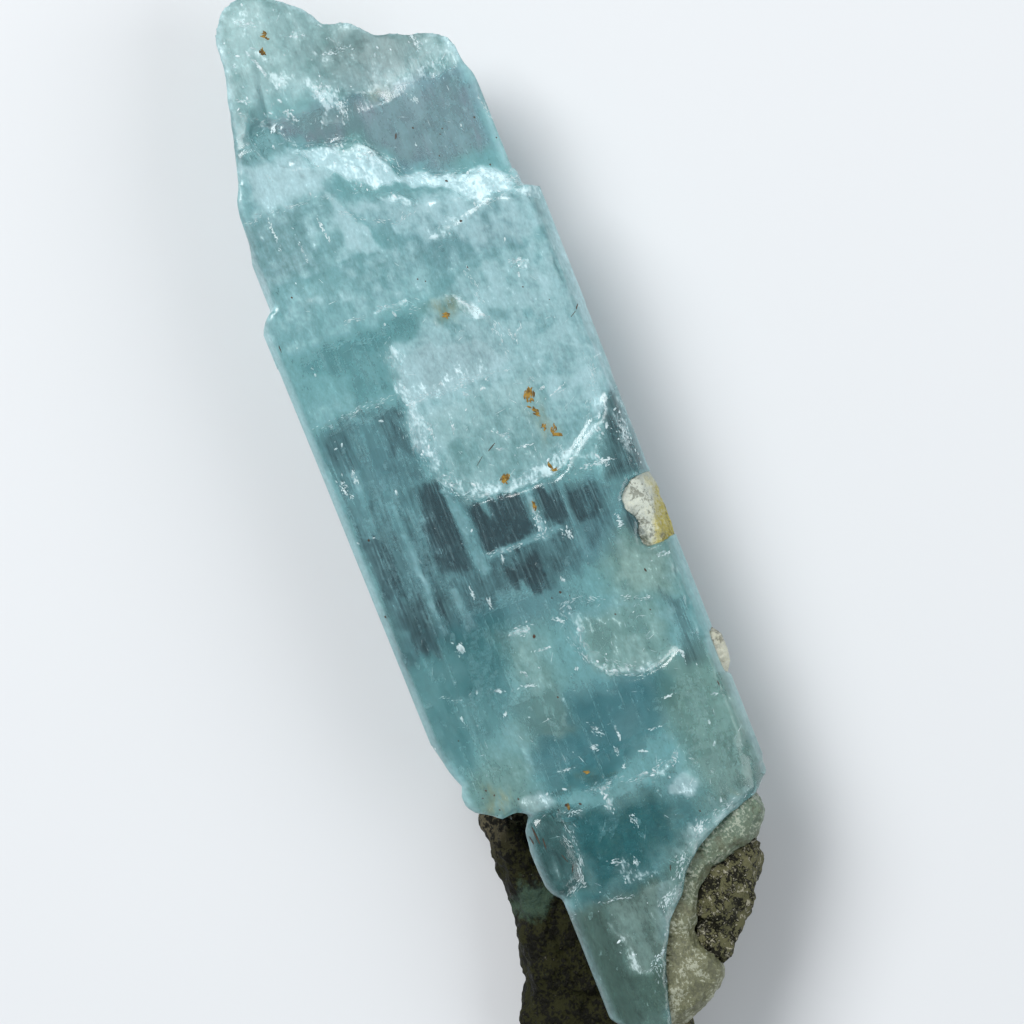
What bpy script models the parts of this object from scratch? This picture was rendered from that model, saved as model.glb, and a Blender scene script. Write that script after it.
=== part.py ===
"""An aquamarine crystal lying on its back, with the scrap of host rock that it grew on.

A flattened six-sided beryl prism, broken at the tip and ragged at the foot, lies on its back
face. Dark mica rock holds its foot from behind and from the right, a cream feldspar seam runs
between the two, and two small feldspar grains sit in the right edge.

Frame: X runs along the prism towards the tip, Y points to the left side of the broad front
face and Z points up, out of that face. The origin is the centre of the resting footprint.
Every measure below is in millimetres, along the prism (x), across it (y) and up (z), and
`solid` turns them into metres. They are taken from the middle of the prism.
"""

import math

import bmesh
import bpy
from mathutils import Vector, noise

MM = 0.001
GAP = 0.35                  # clearance between two minerals that touch

# The prism. Its faces meet at 120 degrees, as on every beryl.
FRONT = 11.0                # front face above the resting face
FLANK_SLOPE = math.tan(math.radians(60))
HALF_WIDTH_FOOT = 10.7      # middle to the widest edge, at the foot end
HALF_WIDTH_TIP = 11.0       # and at the tip end
LEFT_FLANK = 1.13           # how far the left upper flank drops to the widest edge
RIGHT_FLANK = 1.75

# The narrower stretch towards the tip, and the one at the foot.
TIP_HALF_WIDTH = 9.95
TIP_FRONT = FRONT - 0.12
TIP_BACK = 0.5
FOOT_LEFT = 6.25
FOOT_RIGHT = 10.6
FOOT_FRONT = FRONT - 0.35
FOOT_LEFT_FLANK = 0.6
FOOT_BACK = 2.0

# Growth steps: how far across a face each begins, as a share of it, and how deep it lies.
# They come and go along the prism.
FRONT_STEPS = ((0.08, 0.12), (0.22, 0.0), (0.44, 0.1), (0.62, 0.0), (0.84, 0.14), (0.95, 0.0))
FLANK_STEPS = ((0.12, 0.2), (0.38, 0.0), (0.55, 0.25), (0.8, 0.0))
RISER = 0.25                # run of a growth step from one depth to the next
STEP_FADE = 9.0             # length over which a growth step comes or goes
FULL_SHARE = 30.0           # how far apart the steps' fading is read, across a whole face
STATION_PITCH = 6.0

# The broken underside of the crystal's foot, where the rock holds it.
BED_START = -17.6
BED_END = -21.5
BED_LOW = -0.6
BED_HIGH = 4.9
BED_LUMP = 0.5
BED_FLOOR = -3.0            # underside of the block that cuts it
BED_X = (-46.0, -15.0)

# The full width and length that the cutting blocks span.
ACROSS = (-14.0, 14.0)
PAST_TIP = 46.0
ABOVE = FRONT + 2.0

# Where each stretch begins and ends along the prism, past its ragged outline.
MAIN_START, MAIN_END = -26.0, 22.0
TIP_START, TIP_END = 13.0, 43.0
FOOT_START, FOOT_END = -40.0, -15.0

# Rough walls, as (height, spread, bumps): they draw in and grow rougher towards the back.
WALL_LEVELS = ((-1.0, -1.2, 0.45), (1.5, -0.9, 0.45), (4.0, -0.5, 0.4), (6.5, -0.2, 0.25),
               (9.0, 0.0, 0.1), (12.5, 0.0, 0.1))
TIP_LEVELS = ((-1.0, -1.1, 0.5), (1.2, -0.9, 0.5), (3.2, -0.7, 0.5), (5.2, -0.5, 0.4),
              (7.0, -0.2, 0.3), (8.5, 0.0, 0.1), (12.5, 0.0, 0.1))
TIP_LEAN = 0.4              # the broken end slants back by this much for each millimetre down
LEAN_TOP = 7.8              # from this height on
LOBE_LEVELS = ((6.0, -1.2, 0.2), (8.4, -0.2, 0.1), (10.2, 0.0, 0.06), (10.7, -0.3, 0.06),
               (10.9, -0.9, 0.06))

# Outlines of the three stretches, seen from the front. Where the natural flanks show, the
# outline lies outside them.
MAIN_OUTLINE = (
    (20.3, -12.0), (20.4, -10.8), (20.7, -10.2), (21.0, -9.0), (19.8, -4.0), (20.4, 1.0),
    (19.2, 6.0), (19.0, 9.2), (19.0, 9.95), (18.6, 10.4), (18.0, 10.85), (17.2, 11.8),
    (-12.8, 11.8), (-13.4, 10.75), (-14.2, 10.5), (-15.5, 10.25), (-16.2, 10.0), (-16.8, 9.72),
    (-17.5, 10.05), (-18.3, 10.0), (-18.9, 9.5), (-19.3, 8.8), (-20.0, 8.0), (-19.9, 7.0),
    (-20.4, 6.0), (-20.6, 4.6), (-21.7, 4.0), (-22.0, 0.6), (-21.7, -2.9), (-23.4, -3.2),
    (-24.2, -5.2), (-23.4, -8.0), (-22.6, -12.0),
)
TIP_OUTLINE = (
    (14.0, -11.6), (14.0, 11.0), (20.6, 11.0), (21.9, 10.05), (23.0, 9.8), (24.0, 9.5),
    (26.0, 9.4), (27.0, 9.2), (28.0, 8.7), (30.0, 8.2), (32.0, 7.6), (34.0, 7.2), (36.0, 6.7),
    (38.0, 6.5), (39.3, 6.2), (40.3, 5.5), (40.9, 4.6), (41.0, 3.4), (40.2, 1.8), (39.2, 0.4),
    (38.3, -0.7), (37.2, -1.2), (37.1, -1.7), (36.8, -2.6), (36.0, -3.3), (35.0, -4.0),
    (34.5, -5.2), (34.0, -6.5), (33.8, -7.4), (33.2, -8.3), (32.6, -8.9), (32.0, -9.05),
    (30.5, -9.2), (29.5, -9.6), (28.0, -9.85), (26.0, -11.6),
)
FOOT_OUTLINE = (
    (-16.0, -12.0), (-16.0, 8.0), (-35.4, 8.0), (-35.7, 6.25), (-36.3, 5.8), (-37.2, 4.9),
    (-38.0, 3.4), (-38.3, 2.5), (-37.3, 2.2), (-36.2, 1.9), (-35.4, 1.6), (-34.3, 1.3),
    (-33.2, 0.9), (-32.0, 0.2), (-31.0, -0.3), (-30.2, -1.0), (-29.5, -1.8), (-28.3, -2.5),
    (-27.0, -4.0), (-26.2, -5.5), (-25.5, -7.0), (-25.3, -8.2), (-25.0, -9.4), (-24.1, -10.0),
    (-23.8, -10.6), (-23.4, -12.0),
)
LOBE_OUTLINE = (
    (-20.4, 5.3), (-20.7, 6.4), (-21.4, 6.9), (-23.0, 7.05), (-25.6, 7.0), (-26.3, 6.7),
    (-26.9, 6.0), (-26.6, 4.9), (-25.9, 4.1), (-24.6, 3.9), (-22.8, 4.1), (-21.2, 4.5),
)

# Places where the front face has broken away.
SETBACK_OUTLINE = (
    (29.4, 4.4), (28.7, 2.2), (28.2, 0.2), (27.4, -1.0), (26.0, -1.6), (24.7, -2.4),
    (24.1, -3.6), (23.6, -5.0), (23.1, -6.5), (22.6, -8.0), (22.2, -9.3), (22.0, -14.0),
    (46.0, -14.0), (46.0, 3.0), (34.0, 4.8), (31.0, 5.2),
)
SETBACK_DEPTH = 2.1
BREAK_START = 30.2          # the tip slopes away as a lumpy break from here on
BREAK_HEIGHT = FRONT - 0.35
BREAK_FALL = 0.27           # drop for each millimetre towards the tip
BREAK_LUMP = 0.5
BREAK_SETBACK = 1.7         # how much deeper it lies on the right
BREAK_RIGHT = 3.0           # where it starts to be deeper, and over what width
BREAK_TURN = 4.0
LARGE_SHELL_OUTLINE = (
    (16.8, -3.0), (16.0, -0.6), (15.0, 0.2), (14.0, 0.7), (13.8, 3.0), (13.0, 3.6),
    (10.5, 3.7), (8.0, 3.4), (6.0, 4.0), (4.5, 3.6), (2.5, 2.8), (1.3, 1.6), (1.2, 0.0),
    (1.0, -2.0), (0.9, -4.5), (2.0, -6.0), (3.5, -8.3), (5.0, -10.0), (6.0, -13.0),
    (16.5, -13.0),
)
LARGE_SHELL_DEPTH = 0.6
LARGE_SHELL_BUMPS = 0.18
SMALL_SHELL_OUTLINE = (
    (-7.6, -2.0), (-8.6, -1.2), (-10.5, -1.3), (-12.0, -1.8), (-13.0, -2.3), (-13.9, -3.7),
    (-14.2, -5.0), (-14.0, -6.5), (-13.3, -8.0), (-11.5, -8.4), (-9.4, -7.8), (-8.7, -5.0),
)
SMALL_SHELL_DEPTH = 0.4
SMALL_SHELL_BUMPS = 0.12

SHELL_FLARE = 0.3           # how far a shell's rim leans out
SETBACK_LEVELS = ((FRONT - SETBACK_DEPTH, 0.0, 0.15), (FRONT - 1.5, 0.25, 0.3),
                  (FRONT - 0.7, 1.2, 0.4), (FRONT, 2.0, 0.3), (FRONT + 1.5, 3.0, 0.3))

# Shell-shaped spalls off the back edges: centre and half sizes.
SPALLS = (
    ((13.0, 6.9, -0.4), (3.4, 2.2, 1.5)),
    ((-9.5, -6.6, -0.3), (4.2, 1.7, 1.9)),
    ((31.5, -4.6, 0.2), (4.0, 3.0, 1.8)),
    ((2.5, -8.8, 4.2), (5.0, 0.9, 1.6)),
)
SPALL_BUMPS = 0.32
SPALL_DENT = 0.8            # size of the dents on a ball of radius 1

# The host rock: the piece behind and left of the foot, and its corner at the lower right.
ROCK_LEVELS = ((0.5, -1.7, 0.3), (1.3, -0.5, 0.4), (3.0, 0.0, 0.3), (5.0, -0.2, 0.3),
               (6.2, -0.9, 0.3))
CORNER_LEVELS = ((0.5, -1.6, 0.3), (3.0, -0.8, 0.3), (6.0, -0.3, 0.3), (8.5, 0.0, 0.2),
                 (9.7, -0.7, 0.2))
ROCK_LUMPS = 1.8
ROCK_FACE = 1.0             # size of the small faces of broken rock
LUMP_SIZE = 2.2
ROOM = 0.45                 # space left round the seam in the rock
ROCK_OUTLINE = (
    (-19.3, 9.3), (-19.7, 9.7), (-20.6, 9.75), (-21.3, 9.5), (-24.0, 9.8), (-27.0, 10.0),
    (-30.0, 10.6), (-31.5, 11.2), (-33.0, 11.9), (-35.5, 12.3), (-38.5, 11.6), (-41.0, 9.3),
    (-42.2, 6.2), (-42.0, 3.2), (-40.6, 1.6), (-38.4, 0.9), (-36.4, -1.6), (-34.0, -3.6),
    (-31.0, -6.0), (-27.0, -7.6), (-24.6, -7.4), (-22.0, -5.0), (-20.4, -1.0), (-19.8, 3.0),
    (-19.2, 7.0),
)
CORNER_OUTLINE = (
    (-24.0, -8.9), (-25.3, -9.6), (-26.0, -9.6), (-27.0, -9.25), (-28.0, -8.85),
    (-29.0, -8.25), (-30.0, -7.7), (-31.0, -7.2), (-32.0, -6.3), (-33.0, -5.3),
    (-34.0, -4.6), (-34.8, -3.8), (-36.0, -2.6), (-36.4, -0.6), (-33.0, 1.5), (-28.0, 0.5),
    (-24.0, -4.0),
)

# The feldspar seam.
SEAM_LEVELS = ((2.6, -0.5, 0.2), (5.0, -0.2, 0.2), (9.2, 0.0, 0.1), (10.2, -0.6, 0.1))
SEAM_LUMPS = 0.9
SEAM_OUTLINE = (
    (-24.4, -8.6), (-24.9, -9.6), (-26.0, -9.65), (-27.0, -9.2), (-27.8, -8.5),
    (-28.3, -7.2), (-28.5, -5.8), (-29.1, -4.3), (-29.9, -3.1), (-31.0, -2.6), (-32.0, -2.1),
    (-33.0, -1.8), (-34.0, -2.0), (-34.9, -2.8), (-35.6, -2.9), (-36.2, -2.3), (-37.0, -1.4),
    (-37.6, -0.6), (-37.95, 0.3), (-38.2, 1.5), (-38.7, 2.8), (-37.5, 4.0), (-34.0, 3.0),
    (-30.0, 1.0), (-27.0, -2.0), (-25.0, -5.5),
)

# The two grains in the right edge.
GRAIN_OUTLINE = (
    (-1.5, -9.2), (-1.3, -10.2), (-1.3, -12.0), (-5.6, -12.0), (-5.8, -9.9), (-5.9, -8.5),
    (-4.9, -8.5), (-4.0, -8.9), (-3.0, -8.3), (-2.2, -8.3),
)
GRAIN_LEVELS = ((FRONT - 2.2, -0.3, 0.1), (ABOVE, 0.0, 0.1))
GRAIN_INSET = 0.06          # how far the grain lies under the front face
GRAIN_X = (-8.0, 1.0)
CHIP_OUTLINE = (
    (-13.4, -10.1), (-13.3, -10.95), (-13.7, -11.1), (-14.9, -11.15), (-15.7, -11.0),
    (-16.1, -10.8), (-15.9, -10.2),
)
CHIP_LEVELS = ((FRONT - 3.1, -0.25, 0.05), (FRONT - 2.6, 0.0, 0.05), (FRONT - 1.9, 0.0, 0.05),
               (FRONT - 1.5, -0.2, 0.05))

# Broken surfaces: size of the coarse and the fine bumps, and the fine ones' share of the height.
COARSE_BUMP = 3.1
FINE_BUMP = 1.3
FINE_SHARE = 0.5
WALL_PITCH = 1.6            # spacing of the points along a rough outline
FINE_PITCH = 1.2
GRAIN_PITCH = 0.8
BREAK_PITCH = 1.3           # and over a bumpy surface
COARSE_PITCH = 8.0          # and over a flat one

# Numbers that set the bumps of one surface apart from those of the next.
SEEDS = {"main": 1.0, "tip": 2.0, "foot": 3.0, "lobe": 4.0, "setback": 5.0, "break": 6.0,
         "large_shell": 7.0, "small_shell": 8.0, "spall": 10.0, "grain": 11.0, "chip": 12.0,
         "seam": 13.0, "rock": 14.0, "corner": 15.0, "bed": 17.0, "steps": 2.0}


def bump(place, size, seed):
    """Smooth noise of about -1 to 1 that changes over `size` millimetres."""
    return noise.noise(Vector(place) / size + Vector((seed, 2.7 * seed, 5.3)))


def rough(place, amount, seed):
    """Coarse and fine bumps of a broken surface, about `amount` millimetres high."""
    fine = bump(place, FINE_BUMP, seed + 4.1)
    return amount * (bump(place, COARSE_BUMP, seed) + FINE_SHARE * fine)


def smooth_step(value):
    """0 below 0, 1 above 1, and an even S between."""
    value = min(max(value, 0.0), 1.0)
    return value * value * (3.0 - 2.0 * value)


def solid(name, points, faces):
    """A closed mesh object from points in millimetres."""
    form = bmesh.new()
    corners = [form.verts.new(Vector(point) * MM) for point in points]
    for face in faces:
        form.faces.new([corners[index] for index in face])
    bmesh.ops.recalc_face_normals(form, faces=form.faces)
    mesh = bpy.data.meshes.new(name)
    form.to_mesh(mesh)
    form.free()
    piece = bpy.data.objects.new(name, mesh)
    bpy.context.collection.objects.link(piece)
    return piece


def loft(name, rings):
    """A closed solid through rings of equally many points, with a cap at each end."""
    count = len(rings[0])
    points = [point for ring in rings for point in ring]
    faces = [tuple(range(count)), tuple(range(len(points) - count, len(points)))]
    for level in range(len(rings) - 1):
        base = level * count
        for index in range(count):
            following = (index + 1) % count
            faces.append((base + index, base + following,
                          base + count + following, base + count + index))
    return solid(name, points, faces)


def combine(piece, other, operation):
    """Joins, cuts or trims `piece` with `other`, which then only guides the shape."""
    step = piece.modifiers.new(other.name, "BOOLEAN")
    step.operation = operation
    step.solver = "EXACT"
    step.object = other
    other.hide_render = True
    other.display_type = "WIRE"


def side_of(outline):
    """1 where the outline runs counter-clockwise, -1 where it runs clockwise."""
    doubled = sum(a[0] * b[1] - b[0] * a[1] for a, b in zip(outline, outline[1:] + outline[:1]))
    return math.copysign(1.0, doubled)


def with_points_between(outline, pitch):
    """The outline with extra points wherever two of its points are far apart."""
    dense = []
    for start, end in zip(outline, outline[1:] + outline[:1]):
        start = Vector(start)
        end = Vector(end)
        pieces = max(1, round((end - start).length / pitch))
        dense += [start.lerp(end, part / pieces) for part in range(pieces)]
    return dense


def outward(outline):
    """The direction out of the outline at each of its points."""
    turn = side_of(outline)
    directions = []
    for index, point in enumerate(outline):
        along = outline[(index + 1) % len(outline)] - outline[index - 1]
        directions.append(Vector((along.y, -along.x)).normalized() * turn)
    return directions


def deeper(levels, grow):
    """The levels with the lowest moved down and the highest moved up by `grow`."""
    (low, *low_form), *between, (high, *high_form) = levels
    return ((low - grow, *low_form), *between, (high + grow, *high_form))


def column(name, outline, levels, seed, grow=0.0, pitch=WALL_PITCH, lean=0.0):
    """A rough-walled upright solid: at each (height, spread, bumps) of `levels`, the outline is
    moved out by the spread, and `grow` more all round. The same seed gives the same bumps."""
    points = with_points_between(outline, pitch)
    directions = outward(points)
    rings = []
    for height, spread, amount in levels:
        ring = []
        for point, direction in zip(points, directions):
            shift = spread + grow + rough((point.x, point.y, height), amount, seed)
            moved = point + direction * shift
            ring.append((moved.x - lean * max(0.0, LEAN_TOP - height), moved.y, height))
        rings.append(ring)
    return loft(name, rings)


def lump(name, outline, levels, seed, lumps, grow=0.0):
    """A rounded, uneven piece of rock: a column whose surface is evened out into small faces
    and then pushed in and out by a cloudy pattern `lumps` millimetres deep."""
    piece = column(name, outline, levels, seed, grow)
    even = piece.modifiers.new("even_faces", "REMESH")
    even.mode = "VOXEL"
    even.voxel_size = ROCK_FACE * MM
    pattern = bpy.data.textures.new(name + "_lumps", "CLOUDS")
    pattern.noise_scale = LUMP_SIZE * MM
    pattern.noise_depth = 2
    uneven = piece.modifiers.new("lumps", "DISPLACE")
    uneven.texture = pattern
    uneven.texture_coords = "LOCAL"
    uneven.strength = lumps * MM
    uneven.mid_level = 0.5
    return piece


def slab(name, x_range, y_range, surface, flat_height, pitch=BREAK_PITCH):
    """A block with one bumpy side, `surface(x, y)`, and one flat side at `flat_height`."""
    columns = round((x_range[1] - x_range[0]) / pitch)
    rows = round((y_range[1] - y_range[0]) / pitch)
    points = []
    for column_index in range(columns + 1):
        x = x_range[0] + (x_range[1] - x_range[0]) * column_index / columns
        for row_index in range(rows + 1):
            y = y_range[0] + (y_range[1] - y_range[0]) * row_index / rows
            points.append((x, y, surface(x, y)))
    faces = []
    for column_index in range(columns):
        for row_index in range(rows):
            corner = column_index * (rows + 1) + row_index
            faces.append((corner, corner + rows + 1, corner + 1))
            faces.append((corner + 1, corner + rows + 1, corner + rows + 2))
    near = list(range(rows + 1))
    far = [columns * (rows + 1) + row_index for row_index in range(rows + 1)]
    low = [column_index * (rows + 1) for column_index in range(columns + 1)]
    high = [corner + rows for corner in low]
    base = len(points)
    for corner in (near[0], near[-1], far[-1], far[0]):
        points.append((points[corner][0], points[corner][1], flat_height))
    faces.append((base, base + 1, base + 2, base + 3))
    faces.append((base, base + 1, *reversed(near)))
    faces.append((base + 3, base + 2, *reversed(far)))
    faces.append((base, base + 3, *reversed(low)))
    faces.append((base + 1, base + 2, *reversed(high)))
    return solid(name, points, faces)


def step_strength(x, share):
    """How much of a growth step's depth shows at this place along the prism, from 0 to 1."""
    place = (x, FULL_SHARE * share, 0.0)
    return smooth_step(0.55 + 1.6 * bump(place, STEP_FADE, SEEDS["steps"]))


def stepped(start, end, steps, middle, x):
    """The points of one face's edge, from `start` up to but not at `end`, with growth steps."""
    along = end - start
    inward = Vector((along.y, -along.x)).normalized()
    if inward.dot(middle - start) < 0.0:
        inward.negate()
    points = [start]
    depth = 0.0
    for share, full_depth in steps:
        next_depth = full_depth * step_strength(x, share)
        place = start + along * share
        points.append(place + inward * depth)
        points.append(place + along.normalized() * RISER + inward * next_depth)
        depth = next_depth
    return points


def section(x, left, right, front, back, left_flank, right_flank, grow=0.0):
    """The six-sided cut across a prism at `x`, as (x, y, z) points. The flanks fall away at 60
    degrees, and `grow` moves every face out."""
    left_edge = front - left_flank
    right_edge = front - right_flank
    left += grow
    right += grow
    front += grow
    back -= grow
    corners = [Vector(corner) for corner in (
        (-right + (front - right_edge) / FLANK_SLOPE, front),
        (left - (front - left_edge) / FLANK_SLOPE, front),
        (left, left_edge),
        (left - (left_edge - back) / FLANK_SLOPE, back),
        (-right + (right_edge - back) / FLANK_SLOPE, back),
        (-right, right_edge),
    )]
    middle = sum(corners, Vector((0.0, 0.0))) / len(corners)
    face_steps = (FRONT_STEPS, (), FLANK_STEPS, (), FLANK_STEPS, ())
    points = []
    for index, corner in enumerate(corners):
        following = corners[(index + 1) % len(corners)]
        points += stepped(corner, following, face_steps[index], middle, x)
    return [(x, point.x, point.y) for point in points]


def prism(name, x_start, x_end, cut):
    """A prism along X, through the sections that `cut(x)` gives."""
    stations = round((x_end - x_start) / STATION_PITCH)
    return loft(name, [cut(x_start + (x_end - x_start) * station / stations)
                       for station in range(stations + 1)])


def main_section(x, front=FRONT, grow=0.0):
    """The full-width prism, which widens a little towards the tip."""
    share = (x - MAIN_START) / (MAIN_END - MAIN_START)
    half_width = HALF_WIDTH_FOOT + (HALF_WIDTH_TIP - HALF_WIDTH_FOOT) * share
    return section(x, half_width, half_width, front, 0.0, LEFT_FLANK, RIGHT_FLANK, grow)


def bed_height(x, y):
    """The broken underside of the crystal: below the resting face until the rock begins."""
    rise = smooth_step((BED_START - x) / (BED_START - BED_END))
    bumps = rough((x, y, 0.0), BED_LUMP, SEEDS["bed"]) * rise
    return BED_LOW + (BED_HIGH - BED_LOW) * rise + bumps


def main_prism(name, grow):
    """The full-width stretch of the crystal, between its ragged foot and its shoulders."""
    piece = prism(name, MAIN_START, MAIN_END, lambda x: main_section(x, grow=grow))
    walls = column(name + "_walls", MAIN_OUTLINE, WALL_LEVELS, SEEDS["main"], grow)
    combine(piece, walls, "INTERSECT")
    return piece


def tip_prism(name):
    """The narrower stretch above the shoulders, broken off at its end."""
    piece = prism(name, TIP_START, TIP_END, lambda x: section(
        x, TIP_HALF_WIDTH, TIP_HALF_WIDTH, TIP_FRONT, TIP_BACK, LEFT_FLANK, RIGHT_FLANK))
    walls = column(name + "_walls", TIP_OUTLINE, TIP_LEVELS, SEEDS["tip"], lean=TIP_LEAN)
    combine(piece, walls, "INTERSECT")
    return piece


def foot_prism(name, grow):
    """The narrower crystal that runs on below the ragged lower edge, grown as one with it."""
    piece = prism(name, FOOT_START, FOOT_END, lambda x: section(
        x, FOOT_LEFT, FOOT_RIGHT, FOOT_FRONT, FOOT_BACK, FOOT_LEFT_FLANK, RIGHT_FLANK, grow))
    walls = column(name + "_walls", FOOT_OUTLINE, WALL_LEVELS, SEEDS["foot"], grow)
    combine(piece, walls, "INTERSECT")
    lobe = column(name + "_lobe", LOBE_OUTLINE, LOBE_LEVELS, SEEDS["lobe"], grow, FINE_PITCH)
    combine(piece, lobe, "UNION")
    return piece


def crystal_body(name, grow=0.0):
    """The whole crystal before its front face was chipped. Grown by the gap, it is the room
    that it needs in the rock."""
    body = main_prism(name, grow)
    combine(body, foot_prism(name + "_foot", grow), "UNION")
    bed = slab(name + "_bed", BED_X, ACROSS, lambda x, y: bed_height(x, y) - grow, BED_FLOOR)
    combine(body, bed, "DIFFERENCE")
    return body


def shell(name, outline, depth, amount):
    """A cutter for a shell-shaped break: deepest at its lower rim, running out towards the
    tip, with a rough rim that leans out a little."""
    points = with_points_between(outline, FINE_PITCH)
    directions = outward(points)
    lower_x = min(point.x for point in points)
    upper_x = max(point.x for point in points)
    floor_ring = []
    rim_ring = []
    for point, direction in zip(points, directions):
        edge = point + direction * rough((point.x, point.y, 0.0), amount, SEEDS[name])
        share = (upper_x - edge.x) / (upper_x - lower_x)
        floor_ring.append((edge.x, edge.y, FRONT - depth * share))
        edge += direction * SHELL_FLARE
        rim_ring.append((edge.x, edge.y, ABOVE))
    return loft(name, (floor_ring, rim_ring))


def setback():
    """Everything in front of the deeper window at the right of the tip, behind its scarp."""
    return column("tip_setback", SETBACK_OUTLINE, SETBACK_LEVELS, SEEDS["setback"],
                  pitch=FINE_PITCH)


def break_height(x, y):
    """The lumpy surface of the broken tip, which lies deeper on the right."""
    fall = BREAK_FALL * (x - BREAK_START)
    deeper_right = BREAK_SETBACK * smooth_step((BREAK_RIGHT - y) / BREAK_TURN)
    bumps = rough((x, y, 0.0), BREAK_LUMP, SEEDS["break"])
    return BREAK_HEIGHT - fall - deeper_right + bumps


def spall(index, middle, half_sizes):
    """A cutter for a shell-shaped chip knocked off an edge: a dented ball."""
    bpy.ops.mesh.primitive_ico_sphere_add(subdivisions=3, radius=1.0)
    cutter = bpy.context.object
    cutter.name = f"spall_{index}"
    for vertex in cutter.data.vertices:
        dent = SPALL_BUMPS * bump(vertex.co, SPALL_DENT, SEEDS["spall"] + index)
        place = vertex.co * (1.0 + dent)
        vertex.co = Vector(m + h * p for m, h, p in zip(middle, half_sizes, place)) * MM
    return cutter


def grain_column(name, grow):
    """The feldspar grain before its outer sides are trimmed to the prism's faces."""
    levels = deeper(GRAIN_LEVELS, grow)
    return column(name, GRAIN_OUTLINE, levels, SEEDS["grain"], grow, GRAIN_PITCH)


def chip_block(name, grow):
    """The pale chip, which stands a little proud of the right flank."""
    levels = deeper(CHIP_LEVELS, grow)
    return column(name, CHIP_OUTLINE, levels, SEEDS["chip"], grow, GRAIN_PITCH)


def seam_lump(name, grow):
    levels = deeper(SEAM_LEVELS, grow)
    return lump(name, SEAM_OUTLINE, levels, SEEDS["seam"], SEAM_LUMPS, grow)


def aquamarine_crystal():
    """The whole crystal, as broken and chipped as it is, with sockets for the two grains."""
    crystal = crystal_body("aquamarine_crystal")
    combine(crystal, tip_prism("crystal_tip"), "UNION")
    cutters = [
        setback(),
        slab("tip_break", (BREAK_START, PAST_TIP), ACROSS, break_height, ABOVE),
        shell("large_shell", LARGE_SHELL_OUTLINE, LARGE_SHELL_DEPTH, LARGE_SHELL_BUMPS),
        shell("small_shell", SMALL_SHELL_OUTLINE, SMALL_SHELL_DEPTH, SMALL_SHELL_BUMPS),
        grain_column("grain_socket", GAP),
        chip_block("chip_socket", GAP),
    ]
    cutters += [spall(index, *shape) for index, shape in enumerate(SPALLS)]
    for cutter in cutters:
        combine(crystal, cutter, "DIFFERENCE")
    return crystal


def host_rock():
    """The dark rock behind the foot and at its lower right, with room for what it holds."""
    rock = lump("host_rock", ROCK_OUTLINE, ROCK_LEVELS, SEEDS["rock"], ROCK_LUMPS)
    corner = lump("rock_corner", CORNER_OUTLINE, CORNER_LEVELS, SEEDS["corner"], ROCK_LUMPS)
    below = slab("rock_rest", BED_X, ACROSS, lambda x, y: 0.0, BED_FLOOR, COARSE_PITCH)
    combine(rock, corner, "UNION")
    combine(rock, crystal_body("crystal_room", GAP), "DIFFERENCE")
    combine(rock, seam_lump("seam_room", ROOM), "DIFFERENCE")
    combine(rock, below, "DIFFERENCE")
    return rock


def feldspar_seam():
    """The cream seam, with room for the crystal that it grew against."""
    seam = seam_lump("feldspar_seam", 0.0)
    combine(seam, crystal_body("seam_crystal_room", GAP), "DIFFERENCE")
    return seam


def side_feldspar_grain():
    """The grain, a hair lower than the front face that it sits in."""
    grain = grain_column("side_feldspar_grain", 0.0)
    faces = prism("grain_faces", *GRAIN_X, lambda x: main_section(x, FRONT - GRAIN_INSET))
    combine(grain, faces, "INTERSECT")
    return grain


def edge_feldspar_chip():
    return chip_block("edge_feldspar_chip", 0.0)


def finish(piece, name, colour, roughness, transmission=0.0):
    """Gives the piece its own plain finish: colour, roughness and how much light passes."""
    material = bpy.data.materials.new(name)
    material.use_nodes = True
    shader = material.node_tree.nodes["Principled BSDF"]
    shader.inputs["Base Color"].default_value = (*colour, 1.0)
    shader.inputs["Roughness"].default_value = roughness
    shader.inputs["Metallic"].default_value = 0.0
    shader.inputs["Transmission Weight"].default_value = transmission
    piece.data.materials.append(material)


def rest_on_origin(pieces):
    """Moves the whole specimen, guides and all, so that the origin is the middle of the
    footprint that it rests on."""
    holder = bpy.data.objects.new("specimen", None)
    items = list(bpy.context.collection.objects)
    bpy.context.collection.objects.link(holder)
    for item in items:
        item.parent = holder
    shapes = bpy.context.evaluated_depsgraph_get()
    boxes = [piece.evaluated_get(shapes).bound_box for piece in pieces]
    corners = [corner for box in boxes for corner in box]
    low = [min(corner[axis] for corner in corners) for axis in range(3)]
    high = [max(corner[axis] for corner in corners) for axis in range(3)]
    holder.location = (-(low[0] + high[0]) / 2.0, -(low[1] + high[1]) / 2.0, -low[2])


def main():
    for leftover in list(bpy.data.objects):
        bpy.data.objects.remove(leftover)
    crystal = aquamarine_crystal()
    rock = host_rock()
    seam = feldspar_seam()
    grain = side_feldspar_grain()
    chip = edge_feldspar_chip()
    finish(crystal, "beryl", (0.42, 0.68, 0.72), 0.12, 0.6)
    finish(rock, "mica_rock", (0.055, 0.052, 0.035), 0.85)
    finish(seam, "seam_feldspar", (0.42, 0.36, 0.25), 0.55)
    finish(grain, "grain_feldspar", (0.66, 0.66, 0.44), 0.5)
    finish(chip, "chip_feldspar", (0.72, 0.73, 0.64), 0.5)
    rest_on_origin((crystal, rock, seam, grain, chip))


main()
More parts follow.
